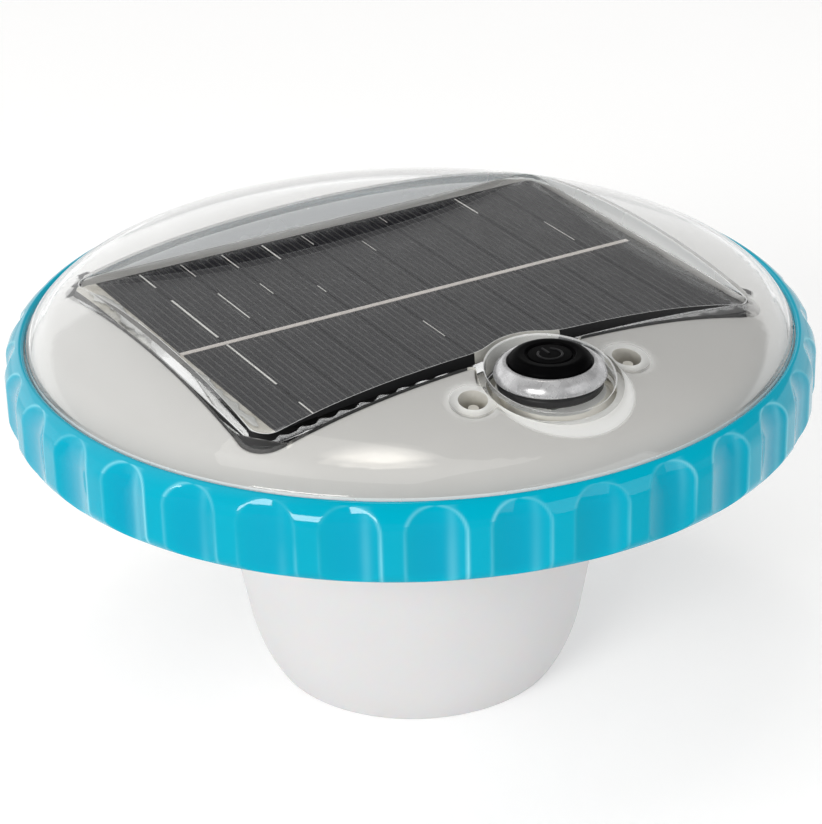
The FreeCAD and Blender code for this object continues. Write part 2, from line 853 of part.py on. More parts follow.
def make_screws(label, reach, count, seat, length, shank="dims.screw_shank - dims.fit_gap"):
    """Cross-slot screws round the vertical axis, heads up."""
    body = new_body(label)
    sketch = new_sketch(body, "profile")
    low = f"{seat} - ({length})"
    corners = [
        ("0", low),
        (f"({shank}) * 0.5", low),
        (shank, f"{low} + 0.8"),
        (shank, seat),
        ("dims.screw_head", seat),
        ("dims.screw_head", f"{seat} + dims.screw_head_height * 0.5"),
        ("dims.screw_head * 0.6", f"{seat} + dims.screw_head_height"),
        ("0", f"{seat} + dims.screw_head_height"),
    ]
    shifted = [(f"({reach}) + {x}", y) for x, y in corners]
    outline(sketch, shifted)
    axis = sketch.addGeometry(
        Part.LineSegment(
            FreeCAD.Vector(value(reach), 0, 0), FreeCAD.Vector(value(reach), 1, 0)
        ),
        True,
    )
    fix_point(sketch, axis, 1, reach, "0")
    fix_point(sketch, axis, 2, reach, "1")
    turned_screw = feature(body, "Revolution", "screw", sketch)
    turned_screw.ReferenceAxis = (sketch, ["Axis0"])
    turned_screw.Angle = 360
    slot = new_sketch(
        body, "slot", "XY_Plane", height=f"{seat} + dims.screw_head_height - dims.screw_slot"
    )
    half = "dims.screw_slot * 0.45"
    arm = "dims.screw_head * 0.62"
    outline(
        slot,
        [
            (f"({reach}) + {x}", y)
            for x, y in (
                (half, half), (half, arm), (f"-{half}", arm), (f"-{half}", half),
                (f"-{arm}", half), (f"-{arm}", f"-{half}"), (f"-{half}", f"-{half}"),
                (f"-{half}", f"-{arm}"), (half, f"-{arm}"), (half, f"-{half}"),
                (arm, f"-{half}"), (arm, half),
            )
        ],
    )
    slot_cut = pocket_up(body, "slot_cut", slot)
    around(body, "screws", [turned_screw, slot_cut], count)
    return body


make_dome_cover()
make_inner_deck()
make_float_pan()
make_lock_ring()
make_diffuser_bulb()
make_bulb_clamp()
ring_section(
    "rim_oring",
    "dims.seal_radius",
    "dims.flange_low - dims.seal_section - dims.seal_ease",
    "dims.seal_section",
)
ring_section(
    "bulb_oring",
    "dims.bulb_seal_radius",
    "dims.bulb_neck_top - dims.bulb_seal_section - dims.seal_ease",
    "dims.bulb_seal_section",
)
clamp_screws = make_screws(
    "clamp_screws",
    "dims.clamp_bolt_circle",
    "dims.clamp_screw_count",
    "dims.clamp_base + dims.clamp_sheet",
    "dims.clamp_screw_length",
)
place(clamp_screws, turn="dims.clamp_bolt_turn")
# the deck's two screws point up into the dome's posts: a half turn about a level axis that
# lies half way round to the panel's length flips them and lines them up with the posts
deck_screws = make_screws(
    "deck_screws", "dims.post_spread", "2", "0", "dims.deck_screw_length", "dims.post_pilot - dims.fit_gap"
)
half_turn = math.radians(value("dims.panel_turn")) / 2
flip_axis = FreeCAD.Vector(math.cos(half_turn), math.sin(half_turn), 0)
deck_screws.Placement = FreeCAD.Placement(FreeCAD.Vector(), FreeCAD.Rotation(flip_axis, 180))
deck_screws.setExpression(
    "Placement.Base.x", f"dims.button_reach * sin({angle('dims.panel_turn')})"
)
deck_screws.setExpression(
    "Placement.Base.y", f"-dims.button_reach * cos({angle('dims.panel_turn')})"
)
deck_screws.setExpression("Placement.Base.z", "dims.well_floor - dims.well_sheet - dims.rest_gap")


# ---------------------------------------------------------------- solar panel


def flat_sketch(body, name, height="0"):
    return new_sketch(body, name, "XY_Plane", height=height)


def make_solar_board():
    body = new_body("solar_board")
    sketch = flat_sketch(body, "profile")
    rounded_rectangle(
        sketch, "dims.board_half_length", "dims.board_half_width", "dims.board_corner"
    )
    pad(body, "sheet", sketch, "dims.solar_sheet")
    place_on_panel(body, height="dims.solar_base")


def repeat_along(body, name, features, axis, spacing, count):
    """Repeats features in a straight row along one of the body's axes."""
    made = body.newObject("PartDesign::LinearPattern", f"{body.Name}_{name}")
    made.Originals = features
    made.Direction = (origin_item(body, axis), [""])
    made.Mode = "Spacing"
    made.setExpression("Offset", spacing)
    made.setExpression("Occurrences", count)
    body.Tip = made
    return made


CELL_PITCH = "(dims.cells_end - dims.cells_start) / dims.cell_columns"


def make_solar_cells():
    """Wafers in two rows, with the bus ribbon's gap between the rows."""
    body = new_body("solar_cells")
    near = flat_sketch(body, "near_wafer")
    end = f"dims.cells_start + {CELL_PITCH} - dims.cell_gap"
    half_ribbon = "dims.ribbon_gap / 2"
    rectangle(near, "dims.cells_start", "-dims.cells_half_width", end, f"-({half_ribbon})")
    near_pad = pad(body, "near_wafer_sheet", near, "dims.wafer_sheet")
    near_row = repeat_along(
        body, "near_row", [near_pad], "X_Axis", CELL_PITCH, "dims.cell_columns"
    )
    far = flat_sketch(body, "far_wafer")
    rectangle(far, "dims.cells_start", half_ribbon, end, "dims.cells_half_width")
    far_pad = pad(body, "far_wafer_sheet", far, "dims.wafer_sheet")
    repeat_along(body, "far_row", [far_pad], "X_Axis", CELL_PITCH, "dims.cell_columns")
    place_on_panel(body, height="dims.solar_base + dims.solar_sheet")


def make_bus_ribbon():
    body = new_body("bus_ribbon")
    sketch = flat_sketch(body, "profile")
    half = "dims.ribbon_gap / 2 - dims.ribbon_ease"
    rectangle(
        sketch,
        "dims.cells_start - dims.ribbon_overhang",
        f"-({half})",
        "dims.cells_end - dims.cell_gap",
        half,
    )
    pad(body, "strip", sketch, "dims.ribbon_sheet")
    place_on_panel(body, height="dims.solar_base + dims.solar_sheet")


def make_panel_adhesive():
    """The bead of clear silicone that holds the panel's bare end under the window."""
    body = new_body("panel_adhesive")
    sketch = flat_sketch(body, "bead")
    rounded_rectangle(
        sketch, "dims.bead_half_length", "dims.bead_half_width", "dims.bead_half_length * 0.9"
    )
    top = "dims.window_floor - dims.window_sheet - dims.rest_gap"
    base = "dims.solar_base + dims.solar_sheet"
    pad(body, "bead_run", sketch, f"{top} - ({base})")
    place_on_panel(body, along="dims.bead_along", height=base)


# ---------------------------------------------------------------- push switch


def make_switch():
    turned(
        "switch_housing",
        [
            ("dims.barrel_bore", "dims.barrel_base"),
            ("dims.barrel_radius", "dims.barrel_base"),
            ("dims.barrel_radius", "dims.bezel_under"),
            ("dims.bezel_radius", "dims.bezel_under"),
            (
                "dims.bezel_radius",
                "dims.bezel_under + dims.bezel_edge",
                "dims.bezel_round",
                1,
            ),
            ("dims.bezel_lip_radius", "dims.bezel_lip"),
            ("dims.bezel_bore", "dims.bezel_lip"),
            ("dims.bezel_bore", "dims.bezel_floor"),
            ("dims.barrel_bore", "dims.bezel_floor"),
        ],
        place_at_button,
    )
    turned(
        "bezel_gasket",
        [
            ("dims.barrel_radius + dims.plate_ease", "dims.gasket_low"),
            ("dims.gasket_radius - dims.gasket_chamfer", "dims.gasket_low"),
            ("dims.gasket_radius", "dims.gasket_low + dims.gasket_chamfer"),
            ("dims.gasket_radius", "dims.bezel_under - dims.gasket_neck - dims.gasket_chamfer"),
            ("dims.gasket_radius - dims.gasket_step", "dims.bezel_under - dims.gasket_neck"),
            ("dims.gasket_radius - dims.gasket_step", "dims.bezel_under - dims.fit_gap"),
            ("dims.barrel_radius + dims.plate_ease", "dims.bezel_under - dims.fit_gap"),
        ],
        place_at_button,
    )
    turned(
        "switch_core",
        [
            ("0", "dims.core_base"),
            ("dims.core_flange", "dims.core_base"),
            ("dims.core_flange", "dims.barrel_base - dims.fit_gap"),
            ("dims.core_plug_radius", "dims.barrel_base - dims.fit_gap"),
            ("dims.core_plug_radius", "dims.core_plug_top"),
            ("0", "dims.core_plug_top"),
        ],
        place_at_button,
    )
    turned(
        "button_plunger",
        [
            ("0", "dims.plunger_base"),
            ("dims.plunger_radius - dims.plunger_chamfer", "dims.plunger_base"),
            ("dims.plunger_radius", "dims.plunger_base + dims.plunger_chamfer"),
            ("dims.plunger_radius", "dims.cap_top - dims.cap_sheet - dims.rest_gap"),
            ("0", "dims.cap_top - dims.cap_sheet - dims.rest_gap"),
        ],
        place_at_button,
    )


def make_switch_nut():
    body = new_body("switch_nut")
    sketch = flat_sketch(body, "hexagon")
    reach = "dims.nut_across / sqrt(3)"
    outline(
        sketch,
        [
            (f"{reach} * cos({side * 60} deg)", f"{reach} * sin({side * 60} deg)")
            for side in range(6)
        ],
    )
    circle(sketch, "dims.barrel_radius + dims.fit_gap")
    pad(body, "blank", sketch, "dims.nut_high - dims.nut_low")
    place_at_button(body, "dims.nut_low")


def make_switch_terminals():
    body = new_body("switch_terminals")
    for name, side in (("first", "-1"), ("second", "1")):
        sketch = flat_sketch(body, name)
        centre = f"({side}) * dims.terminal_spread"
        rectangle(
            sketch,
            f"{centre} - dims.terminal_sheet / 2",
            "-dims.terminal_width / 2",
            f"{centre} + dims.terminal_sheet / 2",
            "dims.terminal_width / 2",
        )
        pad(body, f"{name}_blade", sketch, "dims.terminal_drop")
    place_at_button(body, "dims.core_base - dims.terminal_drop")


def make_button_cap():
    """The rubber cap: a rounded rim, a groove, and a disc with a raised on-off sign."""
    body = new_body("button_cap")
    sketch = new_sketch(body, "profile")
    groove = "dims.cap_top - dims.cap_groove_depth"
    outline(
        sketch,
        [
            ("0", "dims.cap_top - dims.cap_sheet"),
            ("dims.cap_radius - dims.cap_skirt", "dims.cap_top - dims.cap_sheet"),
            ("dims.cap_radius - dims.cap_skirt", "dims.cap_low"),
            ("dims.cap_radius", "dims.cap_low"),
            ("dims.cap_radius", "dims.cap_side", "dims.cap_round", 1),
            ("dims.cap_crest_radius", "dims.cap_top"),
            ("dims.cap_groove_radius", "dims.cap_top"),
            ("dims.cap_groove_radius", groove),
            ("dims.cap_groove_inner", groove),
            ("dims.cap_groove_inner", "dims.cap_top - dims.icon_height"),
            ("0", "dims.cap_top - dims.icon_height"),
        ],
    )
    revolve(body, "turned", sketch)
    base = "dims.cap_top - dims.icon_height - dims.icon_root"
    height = "dims.icon_height + dims.icon_root"
    ring = new_sketch(body, "sign_ring", "XY_Plane", height=base)
    half = angle("dims.icon_gap / 2")
    outer = "(dims.icon_radius + dims.icon_line / 2)"
    inner = "(dims.icon_radius - dims.icon_line / 2)"
    outline(
        ring,
        [
            (f"{outer} * sin({half})", f"{outer} * cos({half})", outer, -1),
            (outer, "0", outer, -1),
            ("0", f"-{outer}", outer, -1),
            (f"-{outer}", "0", outer, -1),
            (f"-{outer} * sin({half})", f"{outer} * cos({half})"),
            (f"-{inner} * sin({half})", f"{inner} * cos({half})", inner, 1),
            (f"-{inner}", "0", inner, 1),
            ("0", f"-{inner}", inner, 1),
            (inner, "0", inner, 1),
            (f"{inner} * sin({half})", f"{inner} * cos({half})"),
        ],
    )
    pad(body, "sign_ring", ring, height)
    bar = new_sketch(body, "sign_bar", "XY_Plane", height=base)
    rectangle(
        bar,
        "-dims.icon_line / 2",
        "dims.icon_radius * 0.15",
        "dims.icon_line / 2",
        "dims.icon_radius * 1.3",
    )
    pad(body, "sign_bar", bar, height)
    place_at_button(body)


def wound_spring(label, wire, coil, low, high, turns, spots):
    """Compression springs with open ends: round wire swept along a helix at each spot."""
    springs = []
    for east, north in spots:
        run = high - low - 2 * wire
        helix = Part.makeHelix(run / turns, run, coil - wire)
        start = FreeCAD.Vector(coil - wire, 0, 0)
        section = Part.Wire([Part.Circle(start, FreeCAD.Vector(0, 1, 0), wire).toShape()])
        spring = Part.Wire(helix.Edges).makePipeShell([section], True, True)
        spring.translate(FreeCAD.Vector(east, north, low + wire))
        springs.append(spring)
    obj = doc.addObject("Part::Feature", label)
    obj.Shape = Part.makeCompound(springs)
    return keep(obj, label)


# ---------------------------------------------------------------- light board


def make_light_board():
    body = new_body("light_board")
    sketch = flat_sketch(body, "profile", "dims.board_base")
    circle(sketch, "dims.board_radius")
    pad(body, "sheet", sketch, "dims.board_sheet")
    hole = flat_sketch(body, "hole", "dims.board_base - 1")
    circle(hole, "dims.screw_clearance + dims.plate_ease", *BOARD_SPOT)
    first = pocket_up(body, "hole_cut", hole)
    around(body, "holes", [first], "dims.board_screw_count")
    ways = flat_sketch(body, "wire_ways", "dims.board_base - 1")
    circle(ways, "dims.lead_section * 2.6")
    pocket_up(body, "wire_way", ways)


def make_lights():
    """Surface-mount lights on the underside of the board."""
    body = new_body("light_chips")
    low = "dims.board_base - dims.rest_gap - dims.led_height"
    sketch = flat_sketch(body, "package", low)
    half = "dims.led_side / 2"
    rectangle(sketch, f"dims.led_circle - {half}", f"-{half}", f"dims.led_circle + {half}", half)
    package = pad(body, "package_block", sketch, "dims.led_height")
    lens = flat_sketch(body, "lens", low)
    circle(lens, "dims.led_lens", "dims.led_circle", "0")
    dish = body.newObject("PartDesign::Pocket", "light_chips_dish")
    dish.Profile = lens
    dish.Reversed = True
    dish.setExpression("Length", "dims.led_height * 0.2")
    around(body, "ring", [package, dish], "dims.led_count")


BOARD_TOP = "dims.board_base + dims.board_sheet + dims.rest_gap"


def block(label):
    """A rectangular component on the board. Its label names its sizes and place in the sheet."""
    box = doc.addObject("Part::Box", label)
    box.setExpression("Length", f"dims.{label}_long")
    box.setExpression("Width", f"dims.{label}_wide")
    box.setExpression("Height", f"dims.{label}_tall")
    east = f"dims.{label}_east - dims.{label}_long / 2"
    place(box, east, f"dims.{label}_north - dims.{label}_wide / 2", BOARD_TOP)
    return keep(box, label)


def drum(label):
    """A round component on the board, sized and placed the same way."""
    cylinder = doc.addObject("Part::Cylinder", label)
    cylinder.setExpression("Radius", f"dims.{label}_radius")
    cylinder.setExpression("Height", f"dims.{label}_tall")
    place(cylinder, f"dims.{label}_east", f"dims.{label}_north", BOARD_TOP)
    return keep(cylinder, label)


def make_connectors():
    """Three two-way lead sockets in a row on top of the board."""
    body = new_body("lead_sockets")
    sketch = flat_sketch(body, "profile", BOARD_TOP)
    rectangle(
        sketch,
        "-dims.socket_pitch - dims.socket_long / 2",
        "dims.socket_north - dims.socket_wide / 2",
        "-dims.socket_pitch + dims.socket_long / 2",
        "dims.socket_north + dims.socket_wide / 2",
    )
    first = pad(body, "housing", sketch, "dims.socket_tall")
    repeat_along(body, "row", [first], "X_Axis", "dims.socket_pitch", "3")


# ---------------------------------------------------------------- battery


def on_cell_circle(body, name, radius, height, length):
    """One round pad on the cells' circle, repeated for every cell."""
    sketch = flat_sketch(body, name, height)
    circle(sketch, radius, "dims.cell_circle", "0")
    return pad(body, f"{name}_pad", sketch, length)


def make_battery():
    cells = new_body("battery_cells")
    can = on_cell_circle(cells, "can", "dims.cell_radius", "dims.cell_base", "dims.cell_length")
    top = "dims.cell_base + dims.cell_length"
    nub = on_cell_circle(
        cells, "nub", "dims.cell_button_radius", f"{top} - dims.nub_root", "dims.cell_button_height"
    )
    around(cells, "pack", [can, nub], "dims.cell_count")

    holder = new_body("battery_holder")
    sketch = flat_sketch(holder, "profile", "dims.holder_base")
    circle(sketch, "dims.holder_radius")
    pad(holder, "block", sketch, "dims.holder_top - dims.holder_base")
    bore = flat_sketch(holder, "bore", "dims.holder_floor")
    circle(bore, "dims.holder_bore", "dims.cell_circle", "0")
    bore_cut = pocket_up(holder, "bore_cut", bore)
    around(holder, "bores", [bore_cut], "dims.cell_count")

    lid = new_body("battery_lid")
    cover = flat_sketch(lid, "profile", "dims.holder_top + dims.rest_gap")
    circle(cover, "dims.holder_radius")
    circle(cover, "dims.lead_section * 2.5")
    pad(lid, "sheet", cover, "dims.holder_lid_sheet")

    plates = new_body("battery_plates")
    plate = on_cell_circle(
        plates,
        "plate",
        "dims.contact_radius",
        "dims.holder_top - dims.contact_sheet",
        "dims.contact_sheet",
    )
    around(plates, "set", [plate], "dims.cell_count")


# ---------------------------------------------------------------- leads


def lead_path(label, points):
    """Straight runs joined by tangent arcs as large as the runs allow."""
    corners = [FreeCAD.Vector(*point) for point in points]
    edges = []
    start = corners[0]
    for before, corner, after in zip(corners, corners[1:], corners[2:]):
        into = (corner - before).normalize()
        out = (after - corner).normalize()
        turn = into.getAngle(out)
        set_back = 0.45 * min((corner - before).Length, (after - corner).Length)
        radius = set_back / math.tan(turn / 2)
        diameters = radius / value("2 * dims.lead_section")
        print(f"{label}: bend radius {radius:.1f} mm, {diameters:.1f} diameters")
        first = corner - into * set_back
        last = corner + out * set_back
        bisector = (out - into).normalize()
        centre = corner + bisector * (radius / math.cos(turn / 2))
        middle = centre - bisector * radius
        edges.append(Part.LineSegment(start, first).toShape())
        edges.append(Part.Arc(first, middle, last).toShape())
        start = last
    edges.append(Part.LineSegment(start, corners[-1]).toShape())
    return Part.Wire(edges)


def make_leads(label, routes):
    """Insulated leads of one colour. Each route is a list of points from end to end."""
    radius = value("dims.lead_section")
    tubes = []
    for points in routes:
        path = lead_path(label, points)
        start, onward = FreeCAD.Vector(*points[0]), FreeCAD.Vector(*points[1])
        section = Part.Wire([Part.Circle(start, onward - start, radius).toShape()])
        tube = path.makePipeShell([section], True, False)
        expected = math.pi * radius**2 * path.Length
        if abs(tube.Volume / expected - 1) > 0.01:
            raise RuntimeError(f"{label}: a lead lost volume")
        tubes.append(tube)
    obj = doc.addObject("Part::Feature", label)
    obj.Shape = Part.makeCompound(tubes)
    return keep(obj, label)


make_solar_board()
make_solar_cells()
make_bus_ribbon()
make_panel_adhesive()
make_switch()
make_switch_nut()
make_switch_terminals()
make_button_cap()
make_light_board()
make_lights()
make_connectors()
make_battery()
for label in ("charge_chip", "driver_chip", "power_inductor"):
    block(label)
drum("storage_capacitor")
make_screws(
    "board_screws",
    "dims.board_bolt_circle",
    "dims.board_screw_count",
    BOARD_TOP,
    "dims.board_screw_length",
)
doc.recompute()
return_spring = wound_spring(
    "return_spring",
    value("dims.return_wire"),
    value("dims.return_coil"),
    value("dims.core_plug_top"),
    value("dims.plunger_base"),
    value("dims.return_turns"),
    [(0, 0)],
)
place_at_button(return_spring)
cell_spots = [
    (
        value("dims.cell_circle") * math.cos(2 * math.pi * number / 3),
        value("dims.cell_circle") * math.sin(2 * math.pi * number / 3),
    )
    for number in range(3)
]
wound_spring(
    "battery_springs",
    value("dims.spring_wire"),
    value("dims.spring_coil"),
    value("dims.holder_floor"),
    value("dims.cell_base"),
    2,
    cell_spots,
)

# lead ends: under the panel, in the lid's middle, at the switch's blades, and at the sockets
SOCKET_FACE = value("dims.socket_north - dims.socket_wide / 2 - dims.rest_gap")
SOCKET_LEVEL = 74.2
SOCKET_HALF = 1.2
PITCH = value("dims.socket_pitch")


def socket(number, side):
    """Where a lead meets its socket: socket -1, 0 or 1, and side -1 or 1."""
    return (number * PITCH + side * SOCKET_HALF, SOCKET_FACE, SOCKET_LEVEL)


def beside_switch(along, height):
    """A point on the line through the switch's blades."""
    turn = math.radians(value("dims.panel_turn"))
    reach = value("dims.button_reach")
    east = reach * math.sin(turn) + along * math.cos(turn)
    north = -reach * math.cos(turn) + along * math.sin(turn)
    return (east, north, height)


BLADE_SIDE = value("dims.terminal_spread + dims.terminal_sheet / 2 + dims.rest_gap")
BLADE_LEVEL = value("dims.core_base - dims.lead_section - dims.blade_drop")

positive_routes = [
    [(-30, -6, 77.42), (-18, -4, 77.2), (-10.2, 8, 75.2), socket(-1, -1)],
    [(-0.75, 0, 69.1), (-0.75, 0, 73.1), (-0.9, 3.2, 76.3), socket(0, -1)],
    [
        beside_switch(-BLADE_SIDE, BLADE_LEVEL),
        beside_switch(-12, BLADE_LEVEL),
        (10, -42, 74.5),
        (7.8, -10, 74.6),
        socket(1, -1),
    ],
]
negative_routes = [
    [(-32, -10, 77.42), (-16, -9, 77.2), (-7.8, 5, 75.2), socket(-1, 1)],
    [(0.75, 0, 69.1), (0.75, 0, 73.1), (0.9, 3.2, 76.3), socket(0, 1)],
    [
        beside_switch(BLADE_SIDE, BLADE_LEVEL),
        beside_switch(12, BLADE_LEVEL),
        (30, -30, 74.6),
        (10.2, 0, 74.8),
        socket(1, 1),
    ],
]
make_leads("positive_leads", positive_routes)
make_leads("negative_leads", negative_routes)


# ---------------------------------------------------------------- checks and export


doc.recompute()
bad = [o.Label for o in doc.Objects if {"Invalid", "Error"} & set(o.State)]
if bad:
    raise RuntimeError(f"these objects failed: {bad}")
for obj in subparts:
    if obj.Shape.isNull() or not obj.Shape.isValid() or not obj.Shape.Solids:
        raise RuntimeError(f"{obj.Label} has no valid solid")

os.makedirs("parts", exist_ok=True)
for obj in subparts:
    obj.Shape.exportStep(f"parts/{obj.Label}.step")
    box = obj.Shape.optimalBoundingBox()
    print(
        f"{obj.Label:20} solids {len(obj.Shape.Solids):3} volume {obj.Shape.Volume:10.1f}"
        f"  x {box.XMin:7.2f} {box.XMax:7.2f}  y {box.YMin:7.2f} {box.YMax:7.2f}"
        f"  z {box.ZMin:7.2f} {box.ZMax:7.2f}"
    )
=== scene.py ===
import math

import bmesh
import bpy
import numpy as np
from mathutils import Matrix, Vector
from mathutils.geometry import delaunay_2d_cdt


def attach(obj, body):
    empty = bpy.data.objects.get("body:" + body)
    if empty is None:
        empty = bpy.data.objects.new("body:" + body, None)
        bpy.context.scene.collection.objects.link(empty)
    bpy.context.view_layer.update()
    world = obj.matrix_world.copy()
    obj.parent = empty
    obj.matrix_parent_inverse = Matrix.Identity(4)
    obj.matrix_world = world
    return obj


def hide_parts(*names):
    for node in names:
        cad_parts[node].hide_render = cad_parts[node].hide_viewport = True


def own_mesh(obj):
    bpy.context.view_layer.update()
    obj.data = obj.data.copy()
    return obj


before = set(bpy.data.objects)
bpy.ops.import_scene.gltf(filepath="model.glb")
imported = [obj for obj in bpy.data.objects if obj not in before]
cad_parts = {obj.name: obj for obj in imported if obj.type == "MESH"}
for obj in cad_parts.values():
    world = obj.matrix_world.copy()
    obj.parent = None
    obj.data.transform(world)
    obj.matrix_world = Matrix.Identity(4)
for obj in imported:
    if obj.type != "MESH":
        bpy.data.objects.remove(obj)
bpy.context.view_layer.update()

# Floating solar pool light. Shapes below are worked out in millimetres and scaled to metres
# when a mesh is made. +Z is up and the origin is the centre of the bulb's foot.

MM = 0.001
TAU = 2 * math.pi

# ---- sizes, in millimetres

APEX = 91.75
CROWN_ROUND, CROWN_REACH = 315.0, 50.0
SHOULDER_ROUND, SHOULDER_REACH = 112.0, 72.0
EDGE_ROUND, RIM_RADIUS = 13.0, 77.9
DOME_WALL = 2.2
FLANGE_RADIUS, FLANGE_LOW, FLANGE_HIGH = 78.9, 73.4, 75.4

PANEL_TURN = math.radians(29.4)
WINDOW_HALF = (55.5, 42.1)
BOARD_HALF = (55.3, 41.0)
WINDOW_CORNER = 4.0
WINDOW_FLOOR, WINDOW_UNDER = 83.2, 81.2
BUTTON_REACH = 53.4
RECESS_RADIUS, RECESS_WALL, RECESS_FLOOR = 12.3, 1.5, 83.8
TUBE_OUTER, TUBE_INNER, TUBE_BASE = 12.2, 10.6, 77.8
TUBE_LEAN = 3.2
SWITCH_HOLE = 6.15
POST_SPREAD, POST_RADIUS, POST_PILOT, POST_PILOT_TOP = 17.0, 2.8, 1.0, 81.6

BUTTON_X = BUTTON_REACH * math.sin(PANEL_TURN)
BUTTON_Y = -BUTTON_REACH * math.cos(PANEL_TURN)


# ---- meshes

def new_object(name, bm, material, body, smooth_angle=math.radians(40)):
    """Turns a bmesh in millimetres into a smooth shaded piece that rides on a body."""
    bmesh.ops.recalc_face_normals(bm, faces=bm.faces)
    bmesh.ops.scale(bm, vec=(MM, MM, MM), verts=bm.verts)
    mesh = bpy.data.meshes.new(name)
    bm.to_mesh(mesh)
    bm.free()
    obj = bpy.data.objects.new(name, mesh)
    bpy.context.scene.collection.objects.link(obj)
    mesh.materials.append(material)
    for polygon in mesh.polygons:
        polygon.use_smooth = True
    mesh.set_sharp_from_angle(angle=smooth_angle)
    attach(obj, body)
    return obj


def arc(start, end, radius, side, steps):
    """Points of the shorter arc, ends included. Side 1 has its centre on the left."""
    start, end = Vector(start), Vector(end)
    chord = end - start
    rise = math.sqrt(max(radius**2 - (chord.length / 2) ** 2, 0.0))
    normal = Vector((-chord.y, chord.x)).normalized()
    centre = (start + end) / 2 + normal * rise * side
    first = math.atan2(start.y - centre.y, start.x - centre.x)
    last = math.atan2(end.y - centre.y, end.x - centre.x)
    if side > 0 and last < first:
        last += TAU
    if side < 0 and last > first:
        last -= TAU
    turns = [first + (last - first) * step / steps for step in range(steps + 1)]
    return [(centre.x + radius * math.cos(t), centre.y + radius * math.sin(t)) for t in turns]


def rounded(corners, closed=False, steps=5):
    """A line of (x, y) or (x, y, round) points, with the rounds put in as arcs."""
    points = []
    count = len(corners)
    for index, corner in enumerate(corners):
        here = Vector(corner[:2])
        radius = corner[2] if len(corner) > 2 else 0
        inside = closed or 0 < index < count - 1
        if not radius or not inside:
            points.append(tuple(here))
            continue
        before = Vector(corners[index - 1][:2])
        after = Vector(corners[(index + 1) % count][:2])
        into, out = (here - before).normalized(), (after - here).normalized()
        turn = into.angle(out)
        set_back = radius * math.tan(turn / 2)
        set_back = min(set_back, (here - before).length * 0.49, (after - here).length * 0.49)
        radius = set_back / math.tan(turn / 2)
        side = 1 if into.x * out.y - into.y * out.x > 0 else -1
        points += arc(here - into * set_back, here + out * set_back, radius, side, steps)
    return points


def circle_points(radius, count, centre=(0.0, 0.0)):
    turns = [TAU * step / count for step in range(count)]
    return [(centre[0] + radius * math.cos(t), centre[1] + radius * math.sin(t)) for t in turns]


def lathe(profile, segments, centre=(0.0, 0.0)):
    """Turns an open profile of (radius, height) about the vertical, closing it on itself."""
    bm = bmesh.new()
    rings = []
    for radius, height in profile:
        points = circle_points(radius, segments, centre) if radius >= 1e-6 else [centre]
        rings.append([bm.verts.new((x, y, height)) for x, y in points])
    pairs = list(zip(rings, rings[1:]))
    if len(rings[0]) > 1 or len(rings[-1]) > 1:
        pairs.append((rings[-1], rings[0]))
    for low, high in pairs:
        join_rings(bm, low, high)
    return bm


def join_rings(bm, low, high):
    """Faces between two closed rings of points, or between a ring and a single point."""
    if len(low) == 1 and len(high) == 1:
        return
    count = max(len(low), len(high))
    for step in range(count):
        following = (step + 1) % count
        if len(low) == 1:
            bm.faces.new((low[0], high[following], high[step]))
        elif len(high) == 1:
            bm.faces.new((low[step], low[following], high[0]))
        else:
            bm.faces.new((low[step], low[following], high[following], high[step]))


def closed_bar(bm, sections):
    """A bar through its cross-sections, with both ends closed."""
    for first, second in zip(sections, sections[1:]):
        join_rings(bm, first, second)
    bm.faces.new(sections[0][::-1])
    bm.faces.new(sections[-1])


# ---- dome surface

CROWN_TURN = math.asin(CROWN_REACH / CROWN_ROUND)
CROWN_CENTRE = Vector((0.0, APEX - CROWN_ROUND))
SHOULDER_CENTRE = CROWN_CENTRE + (CROWN_ROUND - SHOULDER_ROUND) * Vector(
    (math.sin(CROWN_TURN), math.cos(CROWN_TURN))
)
SHOULDER_TURN = math.asin((SHOULDER_REACH - SHOULDER_CENTRE.x) / SHOULDER_ROUND)
EDGE_CENTRE = SHOULDER_CENTRE + (SHOULDER_ROUND - EDGE_ROUND) * Vector(
    (math.sin(SHOULDER_TURN), math.cos(SHOULDER_TURN))
)
EDGE_TURN = math.asin((RIM_RADIUS - EDGE_CENTRE.x) / EDGE_ROUND)


def dome_height(radius, depth=0.0):
    """Height of the surface that lies depth under the dome's own."""
    crown, shoulder, edge = CROWN_ROUND - depth, SHOULDER_ROUND - depth, EDGE_ROUND - depth
    if radius <= crown * math.sin(CROWN_TURN):
        return CROWN_CENTRE.y + math.sqrt(crown**2 - radius**2)
    if radius <= SHOULDER_CENTRE.x + shoulder * math.sin(SHOULDER_TURN):
        return SHOULDER_CENTRE.y + math.sqrt(shoulder**2 - (radius - SHOULDER_CENTRE.x) ** 2)
    reach = min(radius - EDGE_CENTRE.x, edge * math.sin(EDGE_TURN))
    return EDGE_CENTRE.y + math.sqrt(edge**2 - reach**2)


def on_dome(depth=0.0):
    return lambda x, y: dome_height(math.hypot(x, y), depth)


def level(height):
    return lambda x, y: height


# ---- outlines on the panel's axes

def to_world(point):
    """From the panel's own axes, along its length and across it, to the row's."""
    along, across = point
    cosine, sine = math.cos(PANEL_TURN), math.sin(PANEL_TURN)
    return (along * cosine - across * sine, along * sine + across * cosine)


def resample(points, spacing):
    """The same closed line with evenly spaced points."""
    ring = np.array(points + points[:1])
    runs = np.hypot(*np.diff(ring, axis=0).T)
    length = np.concatenate([[0], np.cumsum(runs)])
    count = max(12, int(length[-1] / spacing))
    at = np.linspace(0, length[-1], count, endpoint=False)
    xs, ys = np.interp(at, length, ring[:, 0]), np.interp(at, length, ring[:, 1])
    return list(zip(xs.tolist(), ys.tolist()))


